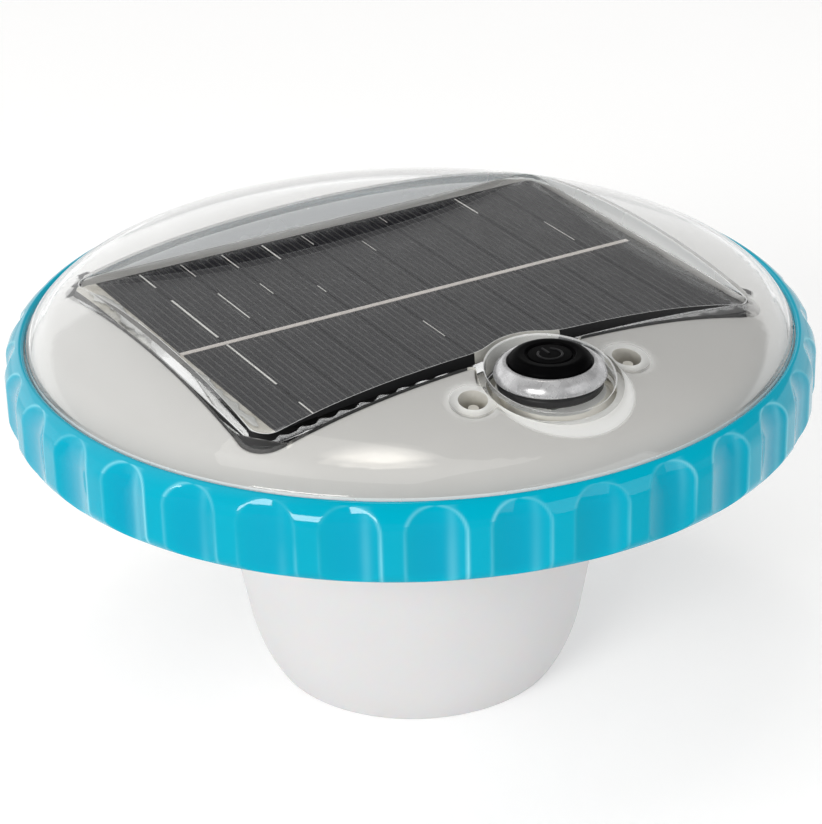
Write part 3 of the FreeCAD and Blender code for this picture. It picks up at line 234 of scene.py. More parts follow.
def shifted_out(points, distance):
    """A closed anticlockwise line moved outwards by a distance."""
    ring = np.array(points)
    tangent = np.roll(ring, -1, axis=0) - np.roll(ring, 1, axis=0)
    tangent /= np.hypot(*tangent.T)[:, None]
    normal = np.stack([tangent[:, 1], -tangent[:, 0]], axis=1)
    return [tuple(p) for p in (ring + normal * distance).tolist()]


BULGE_STEPS, OUTLINE_SPACING = 48, 0.8
# the window's sides run smoothly into the button's wall within this reach
JOINT_REACH, JOINT_PASSES = 3.0, 12


def window_outline(margin, bulge, outward):
    """The window's outline, larger by margin, with the button's round wall of radius bulge:
    cut out of it, or added to it when outward."""
    half_length, half_width = WINDOW_HALF[0] + margin, WINDOW_HALF[1] + margin
    corner = WINDOW_CORNER + margin
    reach = BUTTON_REACH - half_width
    half_chord = math.sqrt(bulge**2 - reach**2)
    start, end = (-half_chord, -half_width), (half_chord, -half_width)
    first = math.atan2(reach, -half_chord)
    sweep = math.atan2(reach, half_chord) + (TAU if outward else 0.0) - first
    turns = [first + sweep * step / BULGE_STEPS for step in range(1, BULGE_STEPS)]
    corners = [(-half_length, half_width, corner), (-half_length, -half_width, corner), start]
    corners += [(bulge * math.cos(t), -BUTTON_REACH + bulge * math.sin(t)) for t in turns]
    corners += [end, (half_length, -half_width, corner), (half_length, half_width, corner)]
    ring = np.array(resample(rounded(corners, closed=True, steps=10), OUTLINE_SPACING))
    near = np.hypot(np.abs(ring[:, 0]) - half_chord, ring[:, 1] + half_width) < JOINT_REACH
    for _ in range(JOINT_PASSES):
        middle = (np.roll(ring, 1, axis=0) + np.roll(ring, -1, axis=0)) / 2
        ring[near] = ring[near] * 0.5 + middle[near] * 0.5
    return [to_world(p) for p in ring.tolist()]


def inside(points, ring):
    """Which points lie inside a closed line."""
    ring = np.array(ring)
    following = np.roll(ring, -1, axis=0)
    found = np.zeros(len(points), bool)
    for (x0, y0), (x1, y1) in zip(ring, following):
        if y0 == y1:
            continue
        crosses = (points[:, 1] < y0) != (points[:, 1] < y1)
        at = x0 + (points[:, 1] - y0) * (x1 - x0) / (y1 - y0)
        found ^= crosses & (points[:, 0] < at)
    return found


def within(points, rings):
    """Which points lie inside the first closed line and outside the others."""
    found = inside(points, rings[0])
    for hole in rings[1:]:
        found &= ~inside(points, hole)
    return found


# a sheet's rows of points, and how far they keep from its border, in spacings
ROW_PITCH, BORDER_GAP = 0.866, 0.6

# finishes of the clear skin, in the order of its materials
POLISHED, FROST_AND_HIGHLIGHT, MILKY, HAZY_MIRRORED_DARK, SHADED, PAINTED_DARK = range(6)


class Shell:
    """A closed skin: loops of points, strips between them and flat or domed sheets."""

    def __init__(self):
        self.bm = bmesh.new()

    def loop(self, points, height):
        return [self.bm.verts.new((x, y, height(x, y))) for x, y in points]

    def strips(self, loops, finish=POLISHED):
        """Faces between each loop and the next."""
        before = len(self.bm.faces)
        for first, second in zip(loops, loops[1:]):
            join_rings(self.bm, first, second)
        for face in list(self.bm.faces)[before:]:
            face.material_index = finish

    def sheet(self, outer, holes, height, spacing=1.6):
        """Fills the space inside the outer loop and outside the holes."""
        loops = [outer, *holes]
        rings = [[(v.co.x, v.co.y) for v in loop] for loop in loops]
        low, high = np.min(rings[0], 0), np.max(rings[0], 0)
        xs = np.arange(low[0], high[0], spacing)
        ys = np.arange(low[1], high[1], spacing * ROW_PITCH)
        grid = np.array([(x + (row % 2) * spacing / 2, y) for row, y in enumerate(ys) for x in xs])
        border = np.array([p for r in rings for p in r])
        grid = grid[within(grid, rings)]
        clear = np.ones(len(grid), bool)
        for start in range(0, len(border), 64):
            apart = grid[:, None] - border[None, start : start + 64]
            clear &= np.hypot(apart[..., 0], apart[..., 1]).min(1) > spacing * BORDER_GAP
        grid = grid[clear]
        coords = [Vector(p) for p in (*border.tolist(), *grid.tolist())]
        edges, base = [], 0
        for r in rings:
            edges += [(base + i, base + (i + 1) % len(r)) for i in range(len(r))]
            base += len(r)
        places, _, faces, origins = delaunay_2d_cdt(coords, edges, [], 0, 1e-6)[:4]
        verts = [v for loop in loops for v in loop]
        known = {i: verts[o[0]] for i, o in enumerate(origins) if o and o[0] < len(verts)}
        middles = np.array([np.mean([places[i][:2] for i in face], 0) for face in faces])
        for face, kept in zip(faces, within(middles, rings)):
            if not kept:
                continue
            corners = []
            for index in face:
                if index not in known:
                    x, y = places[index].x, places[index].y
                    known[index] = self.bm.verts.new((x, y, height(x, y)))
                corners.append(known[index])
            self.bm.faces.new(corners)


def edge_rings(shell, outline, top, floor, fillet=0.3, steps=4, apron=0.3):
    """A wall from a surface to a floor, rounded at the top and at the foot. A narrow even apron
    round the top keeps the shading smooth. Returns the outermost and the innermost loop."""
    edge = shell.loop(shifted_out(outline, fillet + apron), top)
    loops = []
    for step in range(steps + 1):
        turn = math.pi / 2 * step / steps
        out = shifted_out(outline, fillet * (1 - math.sin(turn)))
        drop = fillet * (1 - math.cos(turn))
        loops.append(shell.loop(out, lambda x, y, d=drop: max(top(x, y) - d, floor(x, y) + 0.1)))
    for step in range(steps + 1):
        turn = math.pi / 2 * step / steps
        out = shifted_out(outline, -fillet * (1 - math.cos(turn)))
        rise = fillet * (1 - math.sin(turn))
        low = lambda x, y, r=rise: min(floor(x, y) + r, max(top(x, y) - fillet, floor(x, y)))
        loops.append(shell.loop(out, low))
    # painted highlight: the rounded top of the wall gets the pale edge finish
    shell.strips(loops[: steps + 1], FROST_AND_HIGHLIGHT)
    shell.strips(loops[steps:])
    shell.strips([edge, loops[0]])
    return edge, loops[-1]


BUTTON = (BUTTON_X, BUTTON_Y)
WALL_ROUND = RECESS_RADIUS + RECESS_WALL
SKIN_STEPS, SKIN_EDGE, INNER_EDGE, BLOCK_REACH = 540, 74.0, 72.6, 67.9


def dome_outside(shell, skin_edge):
    """The window, the button's recess and the skin round them. Returns the hole's top edge."""
    window = window_outline(0.0, WALL_ROUND, False)
    recess = circle_points(RECESS_RADIUS, 120, BUTTON)
    window_top, window_foot = edge_rings(shell, window, on_dome(), level(WINDOW_FLOOR))
    recess_top, recess_foot = edge_rings(shell, recess, on_dome(), level(RECESS_FLOOR))
    shell.sheet(skin_edge, [window_top, recess_top], on_dome())
    shell.sheet(window_foot, [], level(WINDOW_FLOOR), 2.5)
    hole = shell.loop(circle_points(SWITCH_HOLE, 72, BUTTON), level(RECESS_FLOOR))
    shell.sheet(recess_foot, [hole], level(RECESS_FLOOR))
    return hole


def dome_flange(shell, skin_edge):
    """The rim, the flange and the start of the inner face. Returns the innermost loop."""
    radii = np.linspace(SKIN_EDGE, RIM_RADIUS, 14)[1:].tolist()
    line = [(radius, dome_height(radius)) for radius in radii]
    inner_rim = EDGE_CENTRE.x + (EDGE_ROUND - DOME_WALL) * math.sin(EDGE_TURN)
    line += rounded([
        line[-1], (RIM_RADIUS, FLANGE_HIGH, 0.4), (FLANGE_RADIUS, FLANGE_HIGH, 0.3),
        (FLANGE_RADIUS, FLANGE_LOW, 0.2), (inner_rim, FLANGE_LOW, 0.2),
        (inner_rim, dome_height(inner_rim, DOME_WALL)),
    ])[1:]
    radii = np.linspace(inner_rim, INNER_EDGE, 12)[1:].tolist()
    line += [(radius, dome_height(radius, DOME_WALL)) for radius in radii]
    last = skin_edge
    loops = [shell.loop(circle_points(radius, SKIN_STEPS), level(z)) for radius, z in line]
    for (radius, height), loop in zip(line, loops):
        rough = height < FLANGE_HIGH + 0.5 and radius > inner_rim - 0.1
        shell.strips([last, loop], FROST_AND_HIGHLIGHT if rough else POLISHED)
        last = loop
    return last


def dome_underside(shell, skin_edge, hole_top):
    """A flat block under the window and the button, with the tube and the two posts."""
    under = WINDOW_UNDER
    line = window_outline(DOME_WALL, WALL_ROUND, True)
    block = [tuple(c * min(1.0, BLOCK_REACH / math.hypot(*p)) for c in p) for p in line]
    inner = on_dome(DOME_WALL)
    block_top = shell.loop(block, lambda x, y: max(inner(x, y), under + 0.05))
    block_low = shell.loop(block, level(under))
    shell.strips([block_top, block_low])
    tube = []
    middle = (under + TUBE_BASE) / 2
    for radius, height, lean in (
        (TUBE_OUTER, under, 0.0), (TUBE_OUTER + 0.7, middle, 0.5),
        (TUBE_OUTER + 1.0, TUBE_BASE, 1.0), (TUBE_INNER + 0.6, TUBE_BASE, 1.0),
        (TUBE_INNER + 0.4, middle, 0.5), (TUBE_INNER, under, 0.0),
    ):
        centre = to_world((0.0, -BUTTON_REACH - TUBE_LEAN * lean))
        tube.append(shell.loop(circle_points(radius, 120, centre), level(height)))
    shell.strips(tube, MILKY)
    hole_low = shell.loop(circle_points(SWITCH_HOLE, 72, BUTTON), level(under))
    shell.strips([hole_low, hole_top])
    shell.sheet(block_low, [tube[0]], level(under), 2.5)
    shell.sheet(tube[-1], [hole_low], level(under))
    posts = []
    for side in (-1, 1):
        centre = to_world((side * POST_SPREAD, -BUTTON_REACH))
        post = [
            shell.loop(circle_points(radius, 48, centre), height)
            for radius, height in (
                (POST_RADIUS, inner), (POST_RADIUS, level(TUBE_BASE + 0.2)),
                (POST_RADIUS - 0.2, level(TUBE_BASE)), (POST_PILOT, level(TUBE_BASE)),
                (POST_PILOT, level(POST_PILOT_TOP)),
            )
        ]
        shell.strips([*post, [shell.bm.verts.new((*centre, POST_PILOT_TOP))]], MILKY)
        posts.append(post[0])
    shell.sheet(skin_edge, [block_top, *posts], inner, 1.2)


def wall_finish(face):
    """The finish of a part of the clear skin that hasn't got one, by where it is."""
    x, y, z = face.calc_center_median()
    along = x * math.cos(PANEL_TURN) + y * math.sin(PANEL_TURN)
    across = y * math.cos(PANEL_TURN) - x * math.sin(PANEL_TURN)
    from_button = math.dist((x, y), BUTTON)
    upright = abs(face.normal.z) < 0.3
    half_length, half_width = WINDOW_HALF
    # painted dark reflection: the far window wall and the recess wall turn dark where mirrored
    if upright and half_width - 0.6 < across < half_width + 0.4 and z > WINDOW_FLOOR:
        return HAZY_MIRRORED_DARK
    # painted shade: the near window wall and its foot are dark when seen from within the plastic
    if -half_width - 0.5 < across < -half_width + 0.6 and from_button > WALL_ROUND + 1.0:
        if z > WINDOW_FLOOR + 0.004 and (upright or z < WINDOW_FLOOR + 0.35):
            return SHADED
    if not upright:
        return POLISHED
    # painted shade: the block's near wall is black all over, a painted dark band along the window's
    # near side
    if abs(across + half_width + DOME_WALL) < 0.6 and from_button > WALL_ROUND + 1.6:
        return PAINTED_DARK
    if along > half_length - 0.6 and math.hypot(x, y) < 70.0:
        return FROST_AND_HIGHLIGHT
    if across > half_width + 0.8 and z > WINDOW_UNDER:
        return FROST_AND_HIGHLIGHT if math.hypot(x, y) < 70.0 else POLISHED
    if from_button < RECESS_RADIUS + 0.4 and z > RECESS_FLOOR:
        return HAZY_MIRRORED_DARK
    return MILKY if from_button < WALL_ROUND + 1.6 else POLISHED


def make_dome(materials):
    shell = Shell()
    skin_edge = shell.loop(circle_points(SKIN_EDGE, SKIN_STEPS), on_dome())
    hole_top = dome_outside(shell, skin_edge)
    inner_edge = dome_flange(shell, skin_edge)
    dome_underside(shell, inner_edge, hole_top)
    shell.bm.normal_update()
    for face in shell.bm.faces:
        if face.material_index == POLISHED:
            face.material_index = wall_finish(face)
    dome = new_object("dome_shell", shell.bm, materials[0], "root")
    for extra in materials[1:]:
        dome.data.materials.append(extra)
    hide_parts("dome_cover")


# ---- grip ring

FLUTES, FLUTE_DEPTH, FLUTE_HALF, FLUTE_STEPS = 33, 1.2, 5.65, 44
BELLY, BELLY_LOW, BELLY_TOP = 82.5, 64.6, 71.8
RING_BASE, FOOT_INNER, FOOT_OUTER = 62.0, 80.9, 81.35
CREST, LIP = (79.3, 77.2), (78.2, 76.6)
# the arch that closes a flute: how far under the crest it starts, and how tall it is
ARCH_START, ARCH_TALL = 0.7, 5.6
# painted highlights: the pale line along a flute's edge, fainter on its left low down, and the pale
# band inside its right half
HIGHLIGHT_LINE, LEFT_HIGHLIGHT_SHARE = 0.3, 0.3
HIGHLIGHT_BAND_PLACE, HIGHLIGHT_BAND_HALF, HIGHLIGHT_BAND_SHARE = 2.9, 0.9, 0.3


def flute_cut(across, half_width):
    """Depth of the scoop that a flute is, at a distance from its middle."""
    depth = FLUTE_DEPTH * (half_width**2 - across**2) / FLUTE_HALF**2
    blend = 0.05
    return depth if depth > blend else (max(depth + blend, 0.0) ** 2) / (4 * blend)


def make_grip_ring(material):
    """Flutes run up from the foot and close in a round arch just under the crest."""
    shoulder = arc((BELLY, BELLY_TOP), CREST, 6.2, 1, 40)
    run = math.dist(shoulder[0], shoulder[1])
    outer = [(FOOT_INNER, RING_BASE, 0.0), (FOOT_OUTER, RING_BASE, 0.0)]
    turned_up = arc((FOOT_OUTER, RING_BASE), (BELLY, BELLY_LOW), 4.2, 1, 10)
    outer += [(*p, FLUTE_HALF) for p in turned_up[1:]]
    for step in range(1, 9):
        outer.append((BELLY, BELLY_LOW + (BELLY_TOP - BELLY_LOW) * step / 8, FLUTE_HALF))
    for index, point in enumerate(shoulder[1:], start=1):
        from_crest = run * (len(shoulder) - 1 - index) - ARCH_START
        short = max(0.0, 1 - from_crest / ARCH_TALL)
        half = FLUTE_HALF * math.sqrt(1 - short**2) if 0 < from_crest else 0.0
        outer.append((*point, half))
    outer += [(*p, 0.0) for p in arc(CREST, LIP, 0.9, 1, 6)[1:]]
    inner = rounded([
        LIP, (LIP[0], 75.7, 0.2), (80.3, 75.7, 0.3), (80.3, 62.6, 0.2), (FOOT_INNER, RING_BASE)
    ])
    outer += [(*p, 0.0) for p in inner[1:-1]]
    count = FLUTES * FLUTE_STEPS
    bm = bmesh.new()
    highlight_layer = bm.verts.layers.float.new("flute_highlight")
    shade_layer = bm.verts.layers.float.new("flute_shade")
    rings = []
    for index, (radius, height, half) in enumerate(outer):
        before, after = outer[index - 1], outer[(index + 1) % len(outer)]
        along = Vector((after[0] - before[0], after[1] - before[1])).normalized()
        inwards = Vector((-along.y, along.x)) if height > BELLY_TOP else Vector((-1.0, 0.0))
        ring = []
        for step in range(count):
            turn = TAU * step / count
            from_middle = (turn + math.pi / FLUTES) % (TAU / FLUTES) - math.pi / FLUTES
            cut = flute_cut(from_middle * BELLY, half) if half > 0 else 0.0
            if height < BELLY_TOP:
                cut = max(0.0, cut - (BELLY - radius))
            reach, rise = radius + inwards.x * cut, height + inwards.y * cut
            vert = bm.verts.new((reach * math.cos(turn), reach * math.sin(turn), rise))
            # painted highlight: a pale line along each flute's edges and a pale band inside it
            if half > 0:
                across = from_middle * BELLY
                off_edge = (abs(across) - half) * max(half / FLUTE_HALF, 0.35)
                line = math.exp(-((off_edge / HIGHLIGHT_LINE) ** 2))
                if across < 0 and height < BELLY_TOP + 2.0:
                    line *= LEFT_HIGHLIGHT_SHARE
                highlight_band = HIGHLIGHT_BAND_SHARE * math.exp(-(((across - HIGHLIGHT_BAND_PLACE) / HIGHLIGHT_BAND_HALF) ** 2))
                vert[highlight_layer] = max(line, highlight_band)
                # painted shade: the deeper the flute is cut, the darker it is
                vert[shade_layer] = min(1.0, cut / FLUTE_DEPTH)
            ring.append(vert)
        rings.append(ring)
    for low, high in zip(rings, rings[1:] + rings[:1]):
        join_rings(bm, low, high)
    for number in range(6):
        arc_block(bm, 79.2, 80.5, 64.2, 66.7, math.radians(60 * number), math.radians(16))
    ring = new_object("grip_ring", bm, material, "lock_ring", math.radians(32))
    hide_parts("lock_ring")


def arc_block(bm, inner, outer, low, high, middle, span, steps=12):
    """A curved rectangular bar about the vertical axis, with its ends closed."""
    sections = []
    for step in range(steps + 1):
        turn = middle + span * (step / steps - 0.5)
        corners = ((inner, low), (outer, low), (outer, high), (inner, high))
        cosine, sine = math.cos(turn), math.sin(turn)
        sections.append([bm.verts.new((r * cosine, r * sine, z)) for r, z in corners])
    closed_bar(bm, sections)


# ---- bulb

def make_bulb(material):
    ball, centre, taper = 36.0, 19.4, math.radians(10.3)
    wall, foot_wall, neck_top, flange, flange_top = 2.0, 2.4, 66.6, 52.0, 68.6
    foot = math.sqrt(ball**2 - centre**2)
    joint = (ball * math.cos(taper), centre - ball * math.sin(taper))
    neck = joint[0] + (neck_top - joint[1]) * math.tan(taper)
    inner_ball = ball - wall
    inner_foot = math.sqrt(inner_ball**2 - (centre - foot_wall) ** 2)
    inner_joint = (inner_ball * math.cos(taper), centre - inner_ball * math.sin(taper))
    inner_neck = inner_joint[0] + (flange_top - inner_joint[1]) * math.tan(taper)
    side = arc((foot, 0.0), joint, ball, 1, 40)
    profile = rounded([(0.0, 0.0), (foot - 1.0, 0.0), (foot, 0.0, 0.5), side[2]])
    profile += side[3:]
    profile += rounded([
        side[-1], (neck, neck_top, 0.8), (flange, neck_top, 0.3), (flange, flange_top, 0.3),
        (inner_neck, flange_top, 0.3), inner_joint,
    ])[1:]
    profile += arc(inner_joint, (inner_foot, foot_wall), inner_ball, -1, 30)[1:]
    profile += [(0.0, foot_wall)]
    bulb = new_object("bulb_shell", lathe(profile, 300), material, "root")
    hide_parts("diffuser_bulb")


# ---- button

UP = Vector((0, 0, 1))
SIGN_RADIUS, SIGN_LINE, SIGN_FLAT, SIGN_HEIGHT = 2.3, 0.24, 0.75, 90.4
SIGN_GAP = math.radians(32)

def sign_line(bm, points, sides=10):
    """A thin closed tube, slightly flat, along an open line of points."""
    sections = []
    for index, point in enumerate(points):
        before, after = points[max(index - 1, 0)], points[min(index + 1, len(points) - 1)]
        along = (Vector(after) - Vector(before)).normalized()
        across = along.cross(UP).normalized()
        section = []
        for side in range(sides):
            turn = TAU * side / sides
            offset = across * math.cos(turn) + UP * SIGN_FLAT * math.sin(turn)
            section.append(bm.verts.new(Vector(point) + offset * SIGN_LINE))
        sections.append(section)
    closed_bar(bm, sections)


def make_button(rubber, sign, metal, gasket):
    """The cap with its raised sign, the bezel round it and the seal under the bezel."""
    cap_low, cap_side, cap_top = (7.95, 88.2), (7.95, 89.4), (5.6, 90.6)
    profile = rounded(
        [(0.0, 89.3), (6.95, 89.3, 0.2), (6.95, 88.2, 0.1), (*cap_low, 0.25), cap_side]
    )
    profile += arc(cap_side, cap_top, 2.2, 1, 12)[1:]
    profile += rounded([
        cap_top, (4.9, 90.6, 0.18), (4.75, 90.1, 0.12), (4.25, 90.1, 0.12), (4.1, 90.42, 0.12),
        (0.0, SIGN_HEIGHT),
    ])[1:]
    cap = new_object(
        "rubber_cap", lathe(profile, 160, BUTTON), rubber, "power_button"
    )
    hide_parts("button_cap")
    bm = bmesh.new()
    ring = []
    for step in range(49):
        turn = PANEL_TURN + math.pi / 2 + SIGN_GAP + (TAU - 2 * SIGN_GAP) * step / 48
        x, y = BUTTON_X + SIGN_RADIUS * math.cos(turn), BUTTON_Y + SIGN_RADIUS * math.sin(turn)
        ring.append((x, y, SIGN_HEIGHT))
    sign_line(bm, ring)
    up = Vector((-math.sin(PANEL_TURN), math.cos(PANEL_TURN), 0))
    foot = Vector((*BUTTON, SIGN_HEIGHT))
    sign_line(bm, [foot + up * (0.3 + 2.6 * step / 8) for step in range(9)])
    new_object("cap_sign", bm, sign, "power_button")
    bezel_side, bezel_lip = (10.75, 86.7), (8.9, 89.1)
    profile = rounded(
        [(4.2, 74.0), (6.0, 74.0, 0.2), (6.0, 86.1, 0.05), (10.75, 86.1, 0.25), bezel_side]
    )
    profile += arc(bezel_side, bezel_lip, 3.4, 1, 12)[1:]
    profile += rounded(
        [bezel_lip, (8.25, 89.1, 0.15), (8.25, 87.0, 0.1), (4.2, 87.0, 0.1), (4.2, 74.0)]
    )[1:-1]
    bezel = new_object("switch_bezel", lathe(profile, 160, BUTTON), metal, "root")
    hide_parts("switch_housing")
    profile = rounded([
        (6.1, 83.85), (9.8, 83.85, 0.2), (10.1, 84.2, 0.2), (10.1, 85.2, 0.25), (9.7, 85.6, 0.15),
        (9.7, 86.05), (6.1, 86.05),
    ])
    seal = new_object("bezel_seal", lathe(profile, 160, BUTTON), gasket, "root")
    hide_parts("bezel_gasket")


# ---- panel details

CELLS_START, CELLS_END, CELL_COLUMNS = -51.0, 53.8, 11
CELLS_HALF_WIDTH, CELL_GAP, RIBBON_HALF = 39.7, 0.35, 0.8
CELL_PITCH = (CELLS_END - CELLS_START) / CELL_COLUMNS
WAFER_TOP = 80.85
FINGERS, FINGER_HALF, FINGER_RISE, SOLDER_RISE = 6, 0.17, 0.02, 0.05


def flat_bar(bm, low, high, base, top):
    """A thin bar on the panel's own axes."""
    corners = [low, (high[0], low[1]), high, (low[0], high[1])]
    rings = [[bm.verts.new((*to_world(c), z)) for c in corners] for z in (base, top)]
    closed_bar(bm, rings)


def make_cell_fingers(material):
    """The thin printed lines that run across every cell, six to a cell."""
    bm = bmesh.new()
    base, top = WAFER_TOP - FINGER_RISE, WAFER_TOP + FINGER_RISE
    for number in range(CELL_COLUMNS * FINGERS):
        column, finger = divmod(number, FINGERS)
        within_cell = (CELL_PITCH - CELL_GAP) * (finger + 0.5) / FINGERS
        along = CELLS_START + CELL_PITCH * column + within_cell
        for low, high in ((-CELLS_HALF_WIDTH, -RIBBON_HALF), (RIBBON_HALF, CELLS_HALF_WIDTH)):
            flat_bar(bm, (along - FINGER_HALF, low), (along + FINGER_HALF, high), base, top)
    new_object("cell_fingers", bm, material, "root", math.radians(30))


# where solder shows at the joints between cells: joint, start, end and half width
JOINT_SOLDER = (
    (1, 39.6, 31.8, 0.16), (1, 24.2, 3.2, 0.22), (1, -0.9, -21.8, 0.2), (1, -31.0, -37.3, 0.14),
    (2, 39.6, 32.5, 0.08), (2, 22.2, 8.0, 0.13), (3, 39.6, 31.6, 0.12), (3, 22.0, 16.0, 0.08),
    (4, 39.6, 31.0, 0.17), (4, 14.6, 11.0, 0.07), (5, 39.6, 34.0, 0.06), (5, -12.0, -20.5, 0.06),
    (6, 30.0, 24.0, 0.05), (7, 39.6, 36.0, 0.05), (9, 39.6, 29.8, 0.15), (10, 18.0, 6.0, 0.06),
)


def make_joint_solder(material):
    """Broken lines of solder along the joints between neighbouring cells."""
    bm = bmesh.new()
    base, top = WAFER_TOP - SOLDER_RISE, WAFER_TOP + SOLDER_RISE
    for joint, start, end, half in JOINT_SOLDER:
        along = CELLS_START + CELL_PITCH * joint - CELL_GAP / 2
        flat_bar(bm, (along - half, end), (along + half, start), base, top)
    new_object("joint_solder", bm, material, "root", math.radians(30))


def make_edge_tape(material):
    """Black foam tape that fills the tray beside the panel: near side and nearest end."""
    bm = bmesh.new()
    near, far = -WINDOW_HALF[1] - 1.9, -BOARD_HALF[1] - 0.06
    end, board_end = -WINDOW_HALF[0] - 1.9, -BOARD_HALF[0] - 0.06
    clear, stop, corner, base, top = 13.5, -8.0, 5.6, 78.06, 81.12
    outside = rounded([(-clear, near), (end, near, corner), (end, stop)], steps=8)
    beside = rounded([(-clear, far), (board_end, far, 2.6), (board_end, stop)], steps=8)
    rows = []
    for out, into in zip(outside, beside):
        section = ((out, base), (out, top), (into, top), (into, base))
        rows.append([bm.verts.new((*to_world(point), height)) for point, height in section])
    closed_bar(bm, rows)
    flat_bar(bm, (clear, near), (-end - corner, far), base, top)
    new_object("edge_tape", bm, material, "root", math.radians(30))


def make_return_coil(material):
    """The button's spring again, as a copy with its own mesh in spring steel."""
    coil = bpy.data.objects.new("return_coil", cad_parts["return_spring"].data.copy())
    bpy.context.scene.collection.objects.link(coil)
    coil.data.materials.clear()
    coil.data.materials.append(material)
    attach(coil, "root")
    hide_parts("return_spring")
    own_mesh(coil)


def make_adhesive(material):
    """The wavy bead of clear silicone under the window at the panel's bare end."""
    bm = bmesh.new()
    sections = []
    steps, sides = 90, 12
    for step in range(steps + 1):
        across = -36.0 + 72.0 * step / steps
        wave = 0.4 * math.sin(across * 0.31) + 0.25 * math.sin(across * 0.97 + 1.0)
        width = 1.2 * (1 + 0.3 * math.sin(across * 0.47 + 0.6) + 0.2 * math.sin(across * 1.9))
        width = min(width, 1.95 - abs(wave))
        close = min(1.0, 0.15 + min(step, steps - step) / 4)
        section = []
        for side in range(sides):
            turn = TAU * side / sides
            x, y = to_world((-53.2 + wave + width * close * math.cos(turn), across))
            section.append(bm.verts.new((x, y, 80.89 + 0.27 * close * math.sin(turn))))
        sections.append(section)
    closed_bar(bm, sections)
    bead = new_object("adhesive_bead", bm, material, "root")
    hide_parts("panel_adhesive")


# ---- materials

def feed(tree, socket, source):
    """Gives a socket a number, a colour or the output of another node."""
    if isinstance(source, bpy.types.NodeSocket):
        tree.links.new(source, socket)
    else:
        socket.default_value = source


def add_node(tree, kind, **sockets):
    node = tree.nodes.new("ShaderNode" + kind)
    for name, source in sockets.items():
        feed(tree, node.inputs[name.replace("_", " ")], source)
    return node


def maths(tree, operation, first, second=0.0):
    """One sum of two sockets or numbers."""
    node = add_node(tree, "Math")
    node.operation = operation
    for socket, source in zip(node.inputs, (first, second)):
        feed(tree, socket, source)
    return node.outputs["Value"]


def map_range(tree, source, start, end, low=0.0, high=1.0, smooth=False):
    """A number from low to high as the source goes from start to end."""
    node = add_node(
        tree, "MapRange", Value=source, From_Min=start, From_Max=end, To_Min=low, To_Max=high
    )
    if smooth:
        node.interpolation_type = "SMOOTHSTEP"
    return node.outputs["Result"]


def spread(tree, source, low, high):
    """A texture's middle values as a range of numbers."""
    return map_range(tree, source, 0.42, 0.7, low, high)


def ramp(tree, source, low, high):
    """Two colours blended by a texture."""
    node = add_node(tree, "ValToRGB", Fac=source)
    for element, place, colour in zip(node.color_ramp.elements, (0.3, 0.7), (low, high)):
        element.position = place
        element.color = (*colour, 1)
    return node.outputs["Color"]


def mix_colours(tree, amount, first, second):
    node = add_node(tree, "Mix")
    node.data_type = "RGBA"
    tree.links.new(amount, node.inputs["Factor"])
    for socket, source in zip([s for s in node.inputs if s.type == "RGBA"], (first, second)):
        feed(tree, socket, (*source, 1) if isinstance(source, tuple) else source)
    return next(s for s in node.outputs if s.type == "RGBA")


def mix_shaders(tree, amount, first, second):
    node = add_node(tree, "MixShader", Fac=amount)
    tree.links.new(first, node.inputs[1])
    tree.links.new(second, node.inputs[2])
    return node.outputs["Shader"]


def place_of(tree):
    """Where a point of the object is, as its three numbers."""
    place = add_node(tree, "TexCoord").outputs["Object"]
    return add_node(tree, "SeparateXYZ", Vector=place).outputs


def noise(tree, scale, detail=3.0):
    place = add_node(tree, "TexCoord").outputs["Object"]
    texture = add_node(tree, "TexNoise", Vector=place, Scale=scale, Detail=detail)
    return texture.outputs["Fac"]


def bump(tree, source, distance, strength=1.0, edge=None):
    """A fine relief, with the edges of the piece softened by a radius in metres."""
    node = add_node(tree, "Bump", Distance=distance, Strength=strength, Height=source)
    if edge:
        soft = add_node(tree, "Bevel", Radius=edge)
        soft.samples = 6
        tree.links.new(soft.outputs["Normal"], node.inputs["Normal"])
    return node.outputs["Normal"]


def shader(name, **sockets):
    material = bpy.data.materials.new(name)
    material.use_nodes = True
    tree = material.node_tree
    tree.nodes.clear()
    output = add_node(tree, "OutputMaterial")
    principled = add_node(tree, "BsdfPrincipled", **sockets)
    tree.links.new(principled.outputs["BSDF"], output.inputs["Surface"])
    return material, tree, principled.inputs, output.inputs["Surface"]


def moulded(
    name, colour, vary, rough, grain, grain_depth, patch, edge=None, layers=(), **sockets
):
    """Plastic, rubber or metal: patchy tone, uneven gloss and a fine grain. A layer is a vertex
    attribute, the colour that it brings in, and the least and the most of it."""
    material, tree, inputs, _ = shader(name, **sockets)
    low = tuple(c * (1 - vary) for c in colour)
    high = tuple(min(1.0, c * (1 + vary)) for c in colour)
    tone = ramp(tree, noise(tree, patch), low, high)
    for attribute, tint, least, most in layers:
        read = add_node(tree, "Attribute")
        read.attribute_name = attribute
        share = spread(tree, noise(tree, 26.0, 1.0), least, most)
        tone = mix_colours(tree, maths(tree, "MULTIPLY", read.outputs["Fac"], share), tone, tint)
    tree.links.new(tone, inputs["Base Color"])
    tree.links.new(spread(tree, noise(tree, patch * 2.3), *rough), inputs["Roughness"])
    relief = bump(tree, noise(tree, grain, 2.0), grain_depth, 1.0, edge)
    tree.links.new(relief, inputs["Normal"])
    return material


